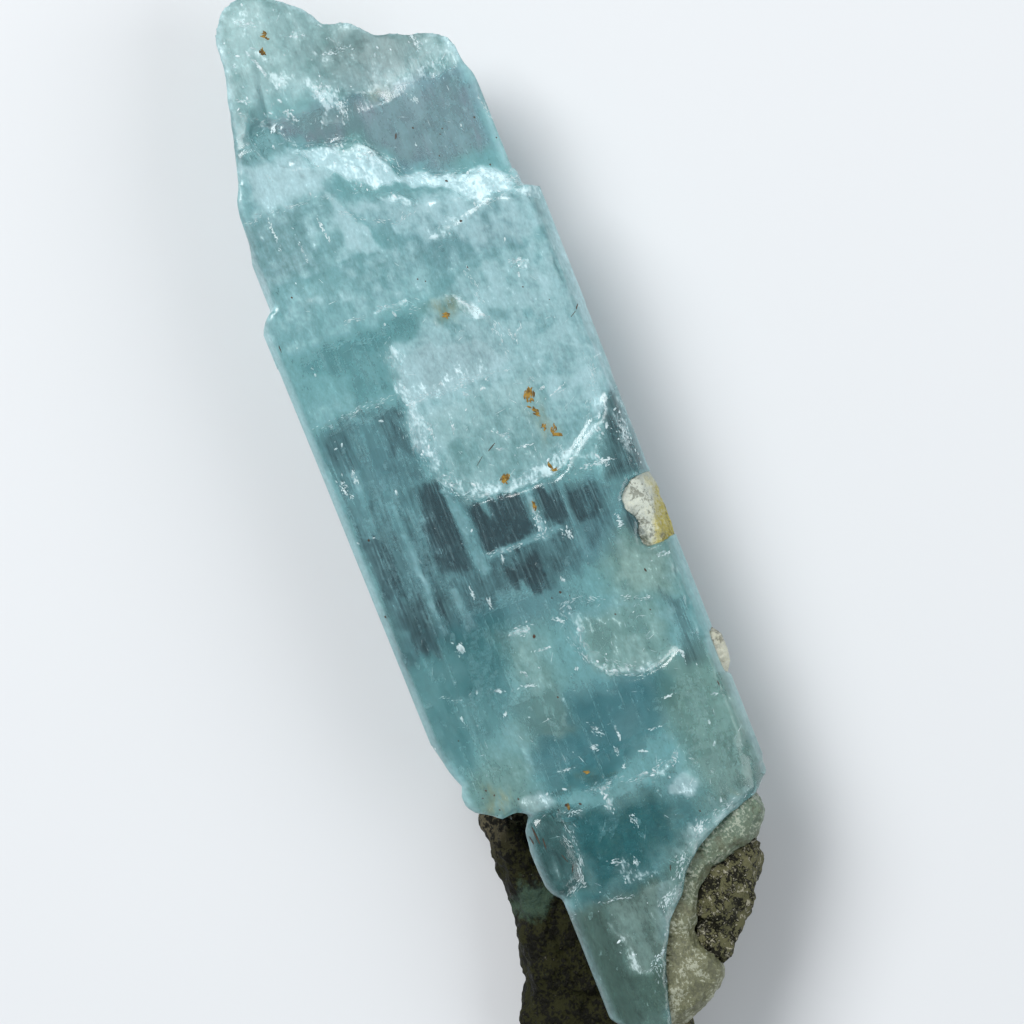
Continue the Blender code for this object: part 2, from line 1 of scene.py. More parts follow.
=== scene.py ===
# %% [markdown]
# # An aquamarine crystal on a scrap of its host rock
#
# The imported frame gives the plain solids: a flattened six-sided beryl prism with a broken tip,
# the dark rock and the cream feldspar seam that hold its foot, and two feldspar grains in its
# right edge. This lesson gives each a finer skin with real relief, puts veils, growth tubes and
# flakes inside the crystal, and builds each mineral's finish. All measures are in millimetres
# along the prism (a, towards the tip), across it (b, towards its left side) and up (z).

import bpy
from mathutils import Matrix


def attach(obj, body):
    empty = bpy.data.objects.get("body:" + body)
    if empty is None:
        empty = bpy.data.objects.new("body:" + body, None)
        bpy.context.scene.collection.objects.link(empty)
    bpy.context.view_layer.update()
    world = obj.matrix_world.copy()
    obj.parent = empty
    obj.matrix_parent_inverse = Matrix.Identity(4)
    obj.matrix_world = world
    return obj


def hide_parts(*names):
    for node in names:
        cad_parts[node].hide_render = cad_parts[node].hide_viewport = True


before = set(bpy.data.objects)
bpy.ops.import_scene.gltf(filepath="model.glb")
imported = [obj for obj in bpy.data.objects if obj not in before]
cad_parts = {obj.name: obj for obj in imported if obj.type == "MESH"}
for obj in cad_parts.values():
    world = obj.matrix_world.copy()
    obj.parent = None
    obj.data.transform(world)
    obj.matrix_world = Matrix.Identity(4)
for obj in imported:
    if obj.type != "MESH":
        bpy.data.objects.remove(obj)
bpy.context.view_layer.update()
print("frame:", sorted(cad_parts))

# %% [markdown]
# ## Places on the crystal
#
# Every place is given on the prism's own axes, because its faces, tubes and cracks all follow
# them. The frame puts its origin under the middle of the whole specimen, a little off the
# middle of the prism, so two shifts take a place from one to the other.

# %% Units and places
import math
import random

import bpy
import numpy as np
from mathutils import Euler, Vector, noise
from mathutils.bvhtree import BVHTree

MM = 0.001
SHIFT_A = 0.897             # the prism's middle, seen from the frame's origin
SHIFT_B = -0.596
FRONT = 11.0                # height of the broad front face


def at(a, b, z):
    """A place on the prism's axes as a point of the frame, in metres."""
    return Vector((a + SHIFT_A, b + SHIFT_B, z)) * MM


def places_of(mesh):
    """Every vertex's place on the prism's axes, one row each."""
    flat = np.empty(len(mesh.vertices) * 3, dtype=np.float32)
    mesh.vertices.foreach_get("co", flat)
    return flat.reshape(-1, 3) / MM - (SHIFT_A, SHIFT_B, 0.0)


def put_back(mesh, places):
    """Moves every vertex to its row of `places`."""
    metres = (places + (SHIFT_A, SHIFT_B, 0.0)) * MM
    mesh.vertices.foreach_set("co", metres.astype(np.float32).ravel())
    mesh.update()


def normals_of(mesh):
    flat = np.empty(len(mesh.vertices) * 3, dtype=np.float32)
    mesh.vertices.foreach_get("normal", flat)
    return flat.reshape(-1, 3)


def bumps(places, size, seed):
    """Smooth noise from -1 to 1 at each place, changing over `size` mm along a, b and z."""
    scaled = places / np.array(size) + (seed, 1.7 * seed, 0.3 * seed)
    return np.array([noise.noise(Vector(point)) for point in scaled])


def fractal(places, size, seed, octaves=4, gain=0.6):
    """Noise with `octaves` layers, each half as large and `gain` times as strong."""
    field = np.zeros(len(places))
    for octave in range(octaves):
        field += gain ** octave * bumps(places, np.array(size) / 2 ** octave, seed + octave)
    return field


def ramp(values, low, high):
    """0 below `low`, 1 above `high` and a smooth rise between."""
    share = np.clip((values - low) / (high - low), 0.0, 1.0)
    return share * share * (3.0 - 2.0 * share)


# %% [markdown]
# ## Finer skins
#
# The frame's solids have large flat facets. A copy of each is merged into one surface and
# remeshed into small even squares, fine enough to carry chips, ribs and crumbled breaks as
# real relief. Remeshing also keeps every piece one closed body, which glass needs.

# %% Copies of the frame's solids
def select_only(piece):
    bpy.ops.object.select_all(action="DESELECT")
    piece.select_set(True)
    bpy.context.view_layer.objects.active = piece


def fine_copy(node, name, pitch):
    """A new piece in a node's shape, remeshed into squares of `pitch` mm."""
    piece = bpy.data.objects.new(name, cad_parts[node].data.copy())
    bpy.context.scene.collection.objects.link(piece)
    piece.data.materials.clear()
    select_only(piece)
    bpy.ops.object.mode_set(mode="EDIT")
    bpy.ops.mesh.select_all(action="SELECT")
    bpy.ops.mesh.remove_doubles(threshold=1e-6)
    bpy.ops.object.mode_set(mode="OBJECT")
    remesh = piece.modifiers.new("even squares", "REMESH")
    remesh.mode = "VOXEL"
    remesh.voxel_size = pitch * MM
    bpy.ops.object.modifier_apply(modifier=remesh.name)
    bpy.ops.object.shade_smooth()
    print(name, "has", len(piece.data.polygons), "squares")
    return piece


crystal = fine_copy("aquamarine_crystal", "beryl_crystal", 0.23)
rock = fine_copy("host_rock", "mica_rock_skin", 0.2)
seam = fine_copy("feldspar_seam", "feldspar_seam_skin", 0.16)
grain = fine_copy("side_feldspar_grain", "side_grain_skin", 0.1)
chip = fine_copy("edge_feldspar_chip", "edge_chip_skin", 0.1)

# %% [markdown]
# ## Zones of the crystal
# Painted shade darkens some places, most towards the foot and on the broken tip's slope, and
# painted light brightens others.
#
# A natural prism is not one even glass. Broken skins are white with frost, some stretches are
# milky with fine veils, others are clear windows painted dark for a dark background seen through
# them, and the colour deepens towards the foot. Each zone is an outline drawn on the front face. A
# zone's edge is made to wander, and along the growth tubes it frays, so that no outline shows as
# drawn.
#
# A zone is its strength from 0 to 1, the softness of its edge in mm and its corners (a, b).

# %% Outlines of the zones
SCARP = ((28.9, 4), (28, 0.4), (27, -1), (24.6, -2.1), (23.8, -5), (22.6, -8.8), (20.9, -9.4),
         (20.8, -6.3), (23.1, -4.4), (24.3, -1), (25.8, 1.3), (27.6, 3.6))
FOOT_STREAK = ((-9.1, 3.1), (-9.1, 1.3), (-16, 1), (-16.3, 2.4), (-15.8, 3.2))
FROST = (
    (0.48, 0.3, ((28.9, 4), (28.9, 2.4), (28.3, 1.2), (28, 0), (27, -1.2), (24.6, -2.3),
     (23.9, -3.6), (23.8, -5), (23.1, -6.3), (22.9, -8.2), (21.8, -9), (20.9, -8.3), (20.8, -6.3),
     (21.7, -5.4), (23.1, -4.4), (24, -2.4), (24.3, -1), (25, 0.6), (25.8, 1.3), (26.6, 2.5),
     (27.6, 3.6))),
    (0.5, 0.5, ((33.1, 1.4), (32.4, -0.4), (30.3, -0.3), (29.6, 0.3), (29.8, 1.9), (31.6, 1.2))),
    (0.5, 0.4, ((34.5, 3.9), (34.3, 1.8), (33.7, 1.8), (32.8, 3.4), (32.8, 4))),
    (0.7, 0.3, ((24.1, -0.3), (23.2, -1.7), (22.4, -2.5), (22.3, -1.6), (23.1, -0.4))),
    (0.8, 0.3, ((20.6, -9.1), (20.2, -10.8), (19.5, -10.7), (19.7, -9.4))),
    (0.7, 0.25, ((20, -2.2), (19.9, -3.4), (19, -4.1), (18.7, -3.5), (19.4, -2.6))),
    (0.6, 0.3, ((20.7, -3.8), (20.4, -4.7), (20, -4))),
    (0.55, 0.4, ((26, 1.6), (25.6, -0.6), (24.2, -1.8), (24.4, 0.2), (25.2, 1.4))),
    (0.52, 0.35, ((13.8, 3.2), (10.4, 3.7), (8, 3.5), (6.2, 4), (4.6, 3.6), (2.6, 2.8),
     (1.4, 1.8), (1.1, 0), (1, -2), (0.9, -4.5), (1.4, -6), (0.5, -7.8), (1.7, -8), (2.5, -6.3),
     (2.1, -4.4), (2.3, -2), (2.4, 0.2), (3, 1.5), (4.2, 2.4), (6, 2.9), (8, 2.6), (10.4, 2.8),
     (13.2, 2.4))),
    (0.35, 0.4, ((10.4, 2.6), (10.6, -2.4), (9.6, -3), (9.4, 2.4))),
    (0.5, 0.3, ((31.4, -0.4), (31.3, -4), (31.3, -8.8), (30.2, -8.8), (30.3, -5.6),
     (30.6, -2.6))),
    (0.6, 0.3, ((16.2, 3.4), (16.6, 1.6), (15.9, 0), (16, 1.4))),
    (0.7, 0.3, ((15.9, -2.1), (14.6, -3.4), (13, -4.4), (13.4, -3.2), (14.8, -2.4))),
    (0.6, 0.3, ((16.2, -7), (15.9, -8.4), (15.2, -8), (15.6, -7))),
    (0.6, 0.35, ((4, -10), (3.9, -10.8), (0, -10.2), (-0.4, -9.6), (2, -9.4))),
    (0.38, 0.3, ((1.2, -5.6), (2.8, -7.4), (4.8, -9.7), (5.8, -11.2), (4.2, -11.2), (2.6, -9.2),
     (1.2, -7.6), (-0.2, -6.4))),
    (0.45, 0.3, ((-7.6, -1.9), (-9, -1.3), (-12, -1.8), (-13.4, -2.7), (-14.2, -4.6),
     (-14.1, -6.4), (-13.3, -8), (-12.7, -7.6), (-13.4, -6.2), (-13.3, -4.4), (-12.4, -2.9),
     (-10.5, -2.2), (-8.6, -2.4))),
    (0.3, 0.3, ((-9, -1.9), (-9.2, -4.2), (-10.6, -5), (-12.2, -4), (-12.2, -2.2))),
    (0.6, 0.3, ((-7.9, 2.9), (-8, 1.2), (-8.6, 1.2), (-8.5, 2.6))),
    (0.35, 0.3, ((-18.8, 6), (-19.2, 4.6), (-20.5, 4.4), (-20.3, 5.6), (-20.1, 6.6))),
    (0.35, 0.5, ((-22, -3), (-21.8, -4.4), (-22.6, -5.8), (-23.4, -5), (-23, -3.2))),
    (0.6, 0.3, ((-20.4, 1), (-20.4, 0.4), (-22.2, 0.2), (-22.2, 0.7))),
    (0.6, 0.3, ((-20.6, -1.6), (-20.4, -4.6), (-21, -4.4), (-21.1, -1.8))),
    (0.55, 0.4, ((-25.6, 2.2), (-25.4, 1.2), (-27.4, -0.4), (-27.4, 1.4), (-26.4, 2.4))),
    (0.5, 0.4, ((-29.6, 3.8), (-29.4, 3), (-33.4, 2.6), (-33.4, 3.4))),
)
MILK = (
    (0.5, 0.3, ((16, -1.2), (14, 1), (13.6, 3.2), (10.4, 3.7), (6.2, 4), (2.6, 2.8), (1.2, 1),
     (1, -4.5), (2.4, -7.4), (5, -10.4), (12, -11), (17, -11), (16.8, -4.4))),
    (0.95, 0.3, SCARP),
    (0.75, 0.2, ((13.2, 2.4), (12.6, -0.6), (11.8, -3.4), (9.6, -4.4), (9.3, -2), (9.3, 3.2),
     (10.6, 3.4))),
    (0.6, 0.6, ((15.6, -6.6), (15.8, -10.4), (6.4, -10.6), (5, -9.6), (8, -7))),
    (0.55, 1.2, ((42, 8), (33.6, 8), (32.6, 4.4), (31.6, 0), (31.4, -4), (30.6, -9.6), (34, -10),
     (42, -2))),
    (0.4, 0.8, ((29.5, 8.6), (28.4, 6.6), (25.6, 6.4), (25.4, 9), (27, 9.6))),
    (1, 1.4, ((29.2, 8.4), (28.8, 4), (26.6, 2.6), (25.5, 3.4), (25.3, 8.6))),
    (0.5, 1.5, ((24.5, 3), (21, 0), (16.5, -6), (16.5, -11), (21, -11))),
    (0.25, 0.6, ((12, 10.4), (12, 7), (10.4, 5), (10.2, 10.6))),
    (0.25, 0.25, ((-7.6, -1.4), (-9.2, -1.5), (-12.5, -2), (-14.1, -4.4), (-13.9, -7.8),
     (-10.6, -8.7), (-9.3, -7.5), (-8.3, -4.2))),
    (0.4, 0.4, ((-11, -4.4), (-13.9, -4.2), (-13.9, -6.8), (-11.4, -6.6))),
    (0.75, 0.25, ((-21.6, -3.7), (-22.6, -3.4), (-23.4, -5), (-22.8, -5.8), (-21.7, -5.2))),
    (0.7, 0.25, ((-18.8, 6.4), (-19, 4.6), (-20.4, 4.3), (-20.5, 6.6))),
    (0.35, 0.25, FOOT_STREAK),
    (0.3, 0.25, ((-13.9, 5.6), (-15, 4), (-17.8, 4.4), (-17.6, 6.4), (-15.4, 6.4))),
    (0.45, 0.25, ((25.3, 10), (25.3, 2.6), (20.4, 1), (20.2, 10))),
    (0.35, 1, ((20.4, 11), (20.4, -11), (15.8, -11), (15.8, 11))),
    (0.35, 0.3, ((19.4, 10.9), (17, 3.4), (15.7, 2.6), (15.7, 11))),
    (0.55, 1.2, ((-4.2, -7), (-6, -5.4), (-8.6, -6), (-9.6, -9), (-8.6, -10.4), (-5.4, -10))),
    (0.2, 1.4, ((-15.8, -7), (-15.4, -11), (-24.4, -11), (-24.6, -7), (-19, -6))),
    (0.15, 0.4, ((-20.6, 4.2), (-20.6, 7.2), (-26, 7.3), (-26.9, 6.2), (-26.4, 4.2),
     (-23.4, 3.7))),
    (0.5, 0.2, ((-28.2, 3.6), (-28.2, -2), (-33.3, -0.2), (-33.8, 2.4), (-33.2, 3.6))),
    (0.5, 1, ((-27, -1), (-27.4, -4), (-25.6, -7), (-25, -9.6), (-24, -9), (-25.4, -4))),
    (0.3, 1, ((-14, 6.2), (-13.8, 3.6), (-17, 4.4), (-20, 6.6), (-19.4, 9.6), (-17, 8.6))),
    (0.3, 0.8, ((-8, 3.4), (-8, 0.4), (-12, 1), (-15.8, 1), (-15.9, 3.6), (-12, 3))),
)
# Clear windows painted dark: the dark of a background seen through clear beryl, put in as colour.
PAINTED_DARK_WINDOWS = (
    (0.34, 0.5, ((31.2, -0.9), (30.3, -2.6), (29.9, -5.6), (29.7, -8.3), (28.6, -8.8), (25, -8.6),
     (23.9, -8.4), (23.7, -6.2), (24.5, -3.6), (26.2, -1.6), (28, -1))),
    (0.55, 0.6, ((30.8, -1), (30, -2.6), (29, -2.4), (28.2, -1.2))),
    (0.5, 0.5, ((29.6, -4.2), (29.8, -6.6), (28.4, -7), (27.9, -5))),
    (0.7, 0.25, ((28.8, -8.2), (28.8, -8.7), (24.9, -8.4), (24.9, -8))),
    (0.55, 0.4, ((31.6, 5.3), (31.2, 3.9), (29.9, 3.6), (29.6, 0.2), (28.4, 0.6), (28.8, 2),
     (29.8, 4.4))),
    (0.42, 0.12, ((10.2, 10.2), (10.2, 3.9), (8, 3.8), (6.2, 4.2), (4, 3.8), (3, 10.2))),
    (0.6, 0.2, ((9.7, 9.9), (9.7, 8), (5.6, 8.1), (5.2, 9.9))),
    (0.6, 0.2, ((9.6, 6.2), (9.8, 4), (6.2, 4.2), (6, 6))),
    (0.5, 0.5, ((3.4, 10.3), (4, 3.9), (2.4, 2.8), (0.9, 1.5), (0.9, -4.6), (-0.2, -6.6),
     (-1.4, -7.8), (-4, -7.2), (-5.4, -4.4), (-6, -1), (-5.8, 3), (-6.6, 6.6), (-7.2, 10.3))),
    (1, 0.12, ((1, 2.2), (0.9, -1.7), (-2.2, -1.7), (-2.2, 2.2))),
    (0.95, 0.12, ((0.8, -2.7), (0.2, -4.3), (-2, -4.3), (-2, -2.7))),
    (0.8, 0.12, ((0, -4.3), (-0.6, -6.9), (-2.8, -6.9), (-2.6, -4.3))),
    (0.9, 0.15, ((1.4, 5.8), (4, 4.2), (2.8, 3.3), (-2.8, 3.3), (-2.6, 5.7))),
    (0.85, 0.15, ((-3.2, 1.6), (-3.3, -1.4), (-5.9, -1.2), (-5.8, 1.4))),
    (0.9, 0.12, ((-3.9, 6.8), (-3.9, 6.1), (-5.3, 6.2), (-5.3, 6.7))),
    (0.85, 0.12, ((-2.8, 5.6), (-2.8, 5.2), (-6.2, 5.2), (-6.2, 5.5))),
    (0.8, 0.2, ((1.8, 10), (1.6, 8.3), (-3.2, 8.3), (-3.2, 10))),
    (0.75, 0.2, ((-3.4, 9.8), (-3.4, 7.4), (-7.3, 7.6), (-7.3, 9.4))),
    (0.65, 0.4, ((5.7, -10.8), (4, -8.9), (1.8, -8.4), (-1.2, -7.4), (-1.3, -10.8))),
    (0.8, 0.3, ((-1.6, -8.4), (-1.6, -9.8), (-5.2, -9.3), (-5, -8), (-3.4, -7.6))),
    (0.6, 0.3, ((-9.4, -8.2), (-9.8, -9.5), (-15.2, -9.5), (-15.2, -7.9), (-12, -8.5))),
    (0.5, 0.4, ((-22.6, 6.3), (-22.4, 5.8), (-26, 4.6), (-25.8, 5.2))),
)
DEEP_AND_PAINTED_SHADE = (
    # The first zone is painted shade on the broken tip's slope, where the key light falls; the
    # others are the beryl's own deeper colour.
    (0.45, 1.2, ((35.6, 1), (35.6, -4), (33, -8), (31.4, -6), (31.2, -1))),
    (0.4, 0.5, ((15.6, 6.8), (15.5, 3.9), (15.2, 0.4), (14.2, 0.4), (13.6, 3.4), (10.7, 3.9),
     (10.5, 6.4), (12.6, 6.8), (14.2, 9.4), (15.6, 10))),
    (0.35, 1.5, ((20.8, 5), (20.2, -3), (18.6, -8.6), (16.6, -8.6), (17.4, 0), (16.8, 3))),
    (0.55, 1.5, ((-5, 11), (-5.4, 3), (-8.8, 3.6), (-13.4, 4.6), (-17, 9), (-14, 11))),
    (0.65, 1, ((-5.6, 5.4), (-5.8, 2), (-9.6, 2.8), (-11.6, 5), (-8.8, 6.4))),
    (0.75, 1.2, ((-13.4, 0.6), (-14.4, -6), (-16.4, -7.6), (-19, -4), (-20.4, 0), (-20.2, 5),
     (-17, 4.4), (-14.6, 3.4))),
    (1, 1.2, ((-21.2, 4.2), (-22.2, 0), (-21.8, -2.6), (-23.4, -3.4), (-26, -3), (-26.8, 0),
     (-27.4, 3.8), (-25, 3.9))),
    (0.6, 1.2, ((-20.5, -4), (-23.4, -6), (-27, -4.4), (-28.6, 0), (-28.2, 5.6), (-26.8, 6),
     (-24, 0))),
    (0.75, 0.4, ((-28.4, 6.4), (-28.4, 3.7), (-33.4, 3.8), (-34, 0.8), (-36.6, 2.4),
     (-36.6, 6.2))),
    (1, 0.5, ((-20.6, 7.2), (-20.6, 4.2), (-26.6, 4), (-27, 7.2))),
)
BLUE = (
    (0.45, 0.8, ((9.6, 10), (9.8, 4), (3.6, 3.4), (1, 1), (0.6, -5), (-1, -8), (-6, -4),
     (-6.4, 4), (-7.2, 10))),
    (0.4, 1.5, ((-13.2, 4), (-13.2, -5.6), (-17.6, -5), (-19.4, 0), (-18.4, 5))),
    (0.7, 0.8, ((-2.4, -4), (-2.6, -7.4), (-5.6, -7.2), (-5.6, -4.2))),
    (0.6, 0.8, ((8.4, 7.6), (8.4, 4.2), (4.2, 4.6), (4.4, 8))),
    (0.5, 0.8, ((-5.8, 3.4), (-6, -2), (-8, -2), (-8, 2))),
    (0.4, 1.5, ((23, 1), (21, -9), (17.4, -9), (17, -2))),
    (0.8, 0.6, ((31.4, 5.4), (31.4, -1), (30.2, -9.2), (24, -9.2), (24.4, -3), (28.6, 0),
     (29, 3))),
)
GREY = (
    (0.4, 0.6, ((30.8, -1.2), (29.9, -5.6), (29.5, -8.6), (24, -8.6), (23.8, -6), (26.2, -1.6),
     (28.6, 2), (31.4, 5))),
    (0.4, 2, ((42, 8), (33.6, 8), (32, 0), (31, -10), (36, -8), (42, 0))),
    (0.9, 1.2, ((-3.8, -7.2), (-6, -5), (-9.4, -6), (-9.6, -9.6), (-5.4, -10.2))),
    (0.9, 1.2, ((-13.4, -6.4), (-14, -11), (-24.6, -11), (-25, -6), (-19, -5.4))),
    (0.7, 1.2, ((-15.4, 7.4), (-16.4, 4.6), (-20.2, 5.4), (-20, 10), (-17, 10))),
    (0.6, 1, ((-26.4, -2), (-25, -9.6), (-28.6, -9), (-33, 0), (-29, 0))),
    (0.9, 0.6, ((-27.9, 6.4), (-27.9, -1), (-38, 2), (-38, 6.4))),
    (0.2, 0.8, ((8.5, 2.5), (8.5, -5.5), (2.2, -5.5), (2.2, 2))),
    (0.3, 0.4, ((-20.4, 7.2), (-20.4, 4.4), (-26.8, 4), (-27, 7.2))),
    (0.7, 0.6, ((-9.2, -2), (-9.2, -8), (-13.8, -8), (-14, -4), (-12.6, -2))),
    (0.6, 0.3, FOOT_STREAK),
    (0.6, 0.5, ((15.4, 0.2), (15.7, -1.6), (14.2, -3.4), (14, -1))),
    (0.5, 0.5, ((37.6, 3.8), (37.4, 2.6), (36, 3.4), (36, 4.2))),
    (0.6, 0.8, ((31.4, -1.6), (31, -3.6), (29.8, -3.8), (30, -2))),
    (0.5, 1.2, ((-8, 3.6), (-8, 0.4), (-15.9, 1), (-15.9, 6), (-12, 3.6))),
)
# Painted shade: places made darker, most towards the foot, on the broken tip's slope where the key
# light falls, over steps that would glint and in a few other patches.
PAINTED_SHADE = (
    (1, 1.2, ((35.6, 0.6), (35.6, -4.4), (33.4, -7.6), (31.2, -6.4), (30.8, -0.6))),
    (0.5, 1.2, ((36.4, -0.6), (36.4, -3.6), (33.6, -6), (33.2, -1))),
    (0.75, 0.5, ((-20.4, 7.2), (-20.4, 3.9), (-26.6, 3.8), (-27, 7.2))),
    (0.5, 1, ((-3.4, 10.4), (-3.4, -3.4), (-8.4, -3), (-8.4, 10.4))),
    (0.35, 1, ((-8.4, 10.4), (-8.4, 4), (-14.6, 4), (-14.6, 10.4))),
    (1.3, 0.8, ((-27.6, 7), (-27.6, 3.6), (-38, 3.6), (-38, 7))),
    (1, 0.8, ((-27.6, 3.6), (-27.6, -2), (-34, 0), (-38, 2), (-38, 3.6))),
    (0.6, 0.8, ((-20, -6.6), (-20, -11), (-25.4, -11), (-25.4, -6.6))),
    (0.5, 1, ((13.4, 2), (13.4, -4.4), (10, -4.4), (9.6, 2))),
    (0.8, 0.8, ((33.6, 8.6), (33, 5.4), (29.6, 4.6), (28.8, 9.4))),
    (0.7, 1, ((25.2, 10.6), (25.2, 5.6), (20.6, 5.6), (20.4, 10.6))),
    (0.7, 0.4, ((5.2, -11), (3.4, -8.9), (1.6, -7.6), (0.6, -8.6), (1, -11))),
)
# Painted light: places made brighter, the frosty scarp, a glowing patch and the tip's clear
# window.
PAINTED_LIGHT = (
    (0.75, 0.5, SCARP),
    (0.3, 0.8, ((27.4, 8.4), (27.2, 3.8), (25.6, 3.2), (25.5, 8.4))),
    (0.5, 1, ((31, -1), (30, -8.6), (24.4, -8.6), (26.2, -1.6))),
)
BANDS = (
    (1, 0.15, ((3, 3.4), (3, 2.5), (-3.4, 2.3), (-3.8, 3))),
    (0.7, 0.12, ((3.2, 7.1), (3.2, 6.8), (-6.7, 6.7), (-6.7, 7.15))),
    (0.8, 0.15, ((-3.7, 5.4), (-3.7, 5), (-6.8, 4.7), (-6.8, 5.5))),
    (0.8, 0.15, ((1, -2), (1, -2.3), (-3, -2.6), (-3, -1.9))),
    (0.7, 0.12, ((-2.2, 2.3), (-2.3, -3.5), (-2.8, -3.5), (-2.8, 2.3))),
    (0.5, 0.15, ((0.4, -4.3), (0.4, -4.6), (-5.2, -4.9), (-5.2, -4.2))),
    (0.7, 0.2, ((6.6, 8.9), (6.4, 8.3), (4, 8.5), (3.8, 8.9))),
)
RUST = (
    (0.5, 0.5, ((6, -4.2), (6.2, -5.6), (3.6, -5.8), (3.2, -4.6))),
    (0.6, 0.3, ((-0.2, -2), (-0.3, -2.4), (-1, -2.5), (-0.8, -2.1))),
    (0.7, 0.5, ((15.6, -0.8), (15.4, -2.4), (13.8, -2.2), (13.9, -0.8))),
    (0.5, 0.3, ((-19, 2.2), (-19.1, 0.6), (-19.4, 0.8), (-19.3, 2))),
    (0.65, 0.6, ((-17.2, 8.6), (-18.2, 7), (-20.2, 6.8), (-19.4, 9))),
    (0.35, 0.3, ((31, -2.4), (31, -3.5), (30.1, -3.5), (30.1, -2.4))),
    (0.6, 0.3, ((-23.8, -7.8), (-24.6, -8.2), (-24.6, -7.9), (-24, -7.6))),
)


def depth_inside(places, outline):
    """How far each place lies inside a closed outline on the front face, in mm."""
    spots = places[:, :2]
    corners = np.array(outline)
    nearest = np.full(len(spots), np.inf)
    inside = np.zeros(len(spots), dtype=bool)
    for start, end in zip(corners, np.roll(corners, -1, axis=0)):
        run = end - start
        share = np.clip((spots - start) @ run / (run @ run), 0.0, 1.0)
        nearest = np.minimum(nearest, np.hypot(*(spots - start - share[:, None] * run).T))
        if start[1] != end[1]:
            crossing = start[0] + run[0] * (spots[:, 1] - start[1]) / run[1]
            between = (start[1] > spots[:, 1]) != (end[1] > spots[:, 1])
            inside ^= between & (spots[:, 0] < crossing)
    return np.where(inside, nearest, -nearest)


def zone_strength(places, zones, softer=0.0):
    """The strongest of the zones at each place, their edges `softer` by so many mm."""
    field = np.zeros(len(places))
    for strength, softness, outline in zones:
        reach = softness + softer
        share = ramp(depth_inside(places, outline), -reach, reach)
        field = np.maximum(field, strength * share)
    return field


def mark(piece, name, field):
    """Stores a number for each vertex, for the finish to read."""
    attribute = piece.data.attributes.new(name, "FLOAT", "POINT")
    attribute.data.foreach_set("value", field.astype(np.float32))


# %% Zones on the crystal's skin
SLICE = 0.5                 # length of the slices that the sides are read in
NO_SIDE = 5.0               # the distance that counts as far from any side
SEAM_TOP = (-24.0, 2.8)     # the seam covers the side below this a and b


def side_distance(places):
    """How far each place lies from the nearer side of the crystal's outline, in mm."""
    slices = np.floor(places[:, 0] / SLICE).astype(int)
    slices -= slices.min()
    left = np.full(slices.max() + 1, -np.inf)
    right = np.full(slices.max() + 1, np.inf)
    np.maximum.at(left, slices, places[:, 1])
    np.minimum.at(right, slices, places[:, 1])
    return np.minimum(left[slices] - places[:, 1], places[:, 1] - right[slices])


def wandering(places):
    """Steps of up to about half a millimetre, which make a zone's edge wander."""
    coarse = [0.45 * bumps(places, (2.0, 1.6, 4.0), seed) for seed in (1.0, 2.0)]
    close = [0.25 * bumps(places, (0.7, 0.6, 2.0), seed) for seed in (3.0, 4.0)]
    return np.stack((coarse[0] + close[0], coarse[1] + close[1], np.zeros(len(places))), axis=1)


def crumbling(places, frost):
    """How crumbled the skin is, from 0 to 1: most on frost, less on the whole broken tip."""
    return np.maximum(0.7 * frost, 0.45 * ramp(places[:, 0], 29.0, 33.0))


places = places_of(crystal.data)
wander = wandering(places)
fray = np.zeros_like(places)
fray[:, 0] = 0.9 * bumps(places, (30.0, 0.5, 2.0), 5.0) + 0.9 * bumps(places, (3.0, 1.8, 3.0), 6.0)
drifted = places + 3.0 * wander
cloud = fractal(drifted, (5.0, 4.0, 4.0), 10.0)
patch = fractal(drifted, (1.5, 1.1, 1.1), 20.0)
bands = fractal(places, (11.0, 0.8, 2.0), 30.0, octaves=3)
upper = ramp(places[:, 0], 29.0, 34.0)

frost = zone_strength(places + wander, FROST)
band = zone_strength(places + 0.4 * wander, BANDS)
milk = np.maximum(zone_strength(places + wander, MILK), 0.35 * band)
# The clear windows' painted dark, for a dark background seen through them.
dark = (1.0 - band) * zone_strength(places + 0.4 * wander + fray, PAINTED_DARK_WINDOWS, softer=0.2)
# Deeper colour, and painted shade on the broken tip's slope.
deep_and_painted_shade = zone_strength(places + wander, DEEP_AND_PAINTED_SHADE)
mark(crystal, "snow", 0.36 * frost + 0.14 * patch + 0.05 * upper + 0.05 * milk)
mark(crystal, "milk", ramp(1.2 * milk + 0.22 * patch + 0.2 * cloud + 0.1 * bands, 0.0, 1.1))
mark(crystal, "dark", dark * (1.0 - 0.25 * patch - 0.2 * bands))
mark(crystal, "deep_and_painted_shade", ramp(deep_and_painted_shade + 0.35 * cloud + 0.1 * patch, 0.0, 1.0))
# Painted shade less painted light, taken from the mottled tone of the skin.
painted_shade_less_light = zone_strength(places + wander, PAINTED_SHADE) - zone_strength(places + wander, PAINTED_LIGHT)
mark(crystal, "tone_and_painted_light", ramp(0.4 * cloud + 0.4 * patch + 0.4 * bands, -0.9, 0.9) - painted_shade_less_light)
mark(crystal, "blue", zone_strength(places + 2.0 * wander, BLUE))
mark(crystal, "grey", zone_strength(places + 1.5 * wander, GREY))
mark(crystal, "rust", zone_strength(places + wander, RUST))
# The distance from the sides sets the painted glow along them, which stops where the seam covers a
# side.
at_seam = (places[:, 0] < SEAM_TOP[0]) & (places[:, 1] < SEAM_TOP[1])
mark(crystal, "side", np.where(at_seam, NO_SIDE, side_distance(places)))
mark(crystal, "rough", crumbling(places, frost))
print("zones:", len(FROST), "frosty,", len(MILK), "milky,", len(PAINTED_DARK_WINDOWS), "clear")

# %% [markdown]
# ## Weathered steps
#
# Two growth steps die out across the middle of the front face. There their edges are rubbed
# down, which keeps them sharp only near the sides.

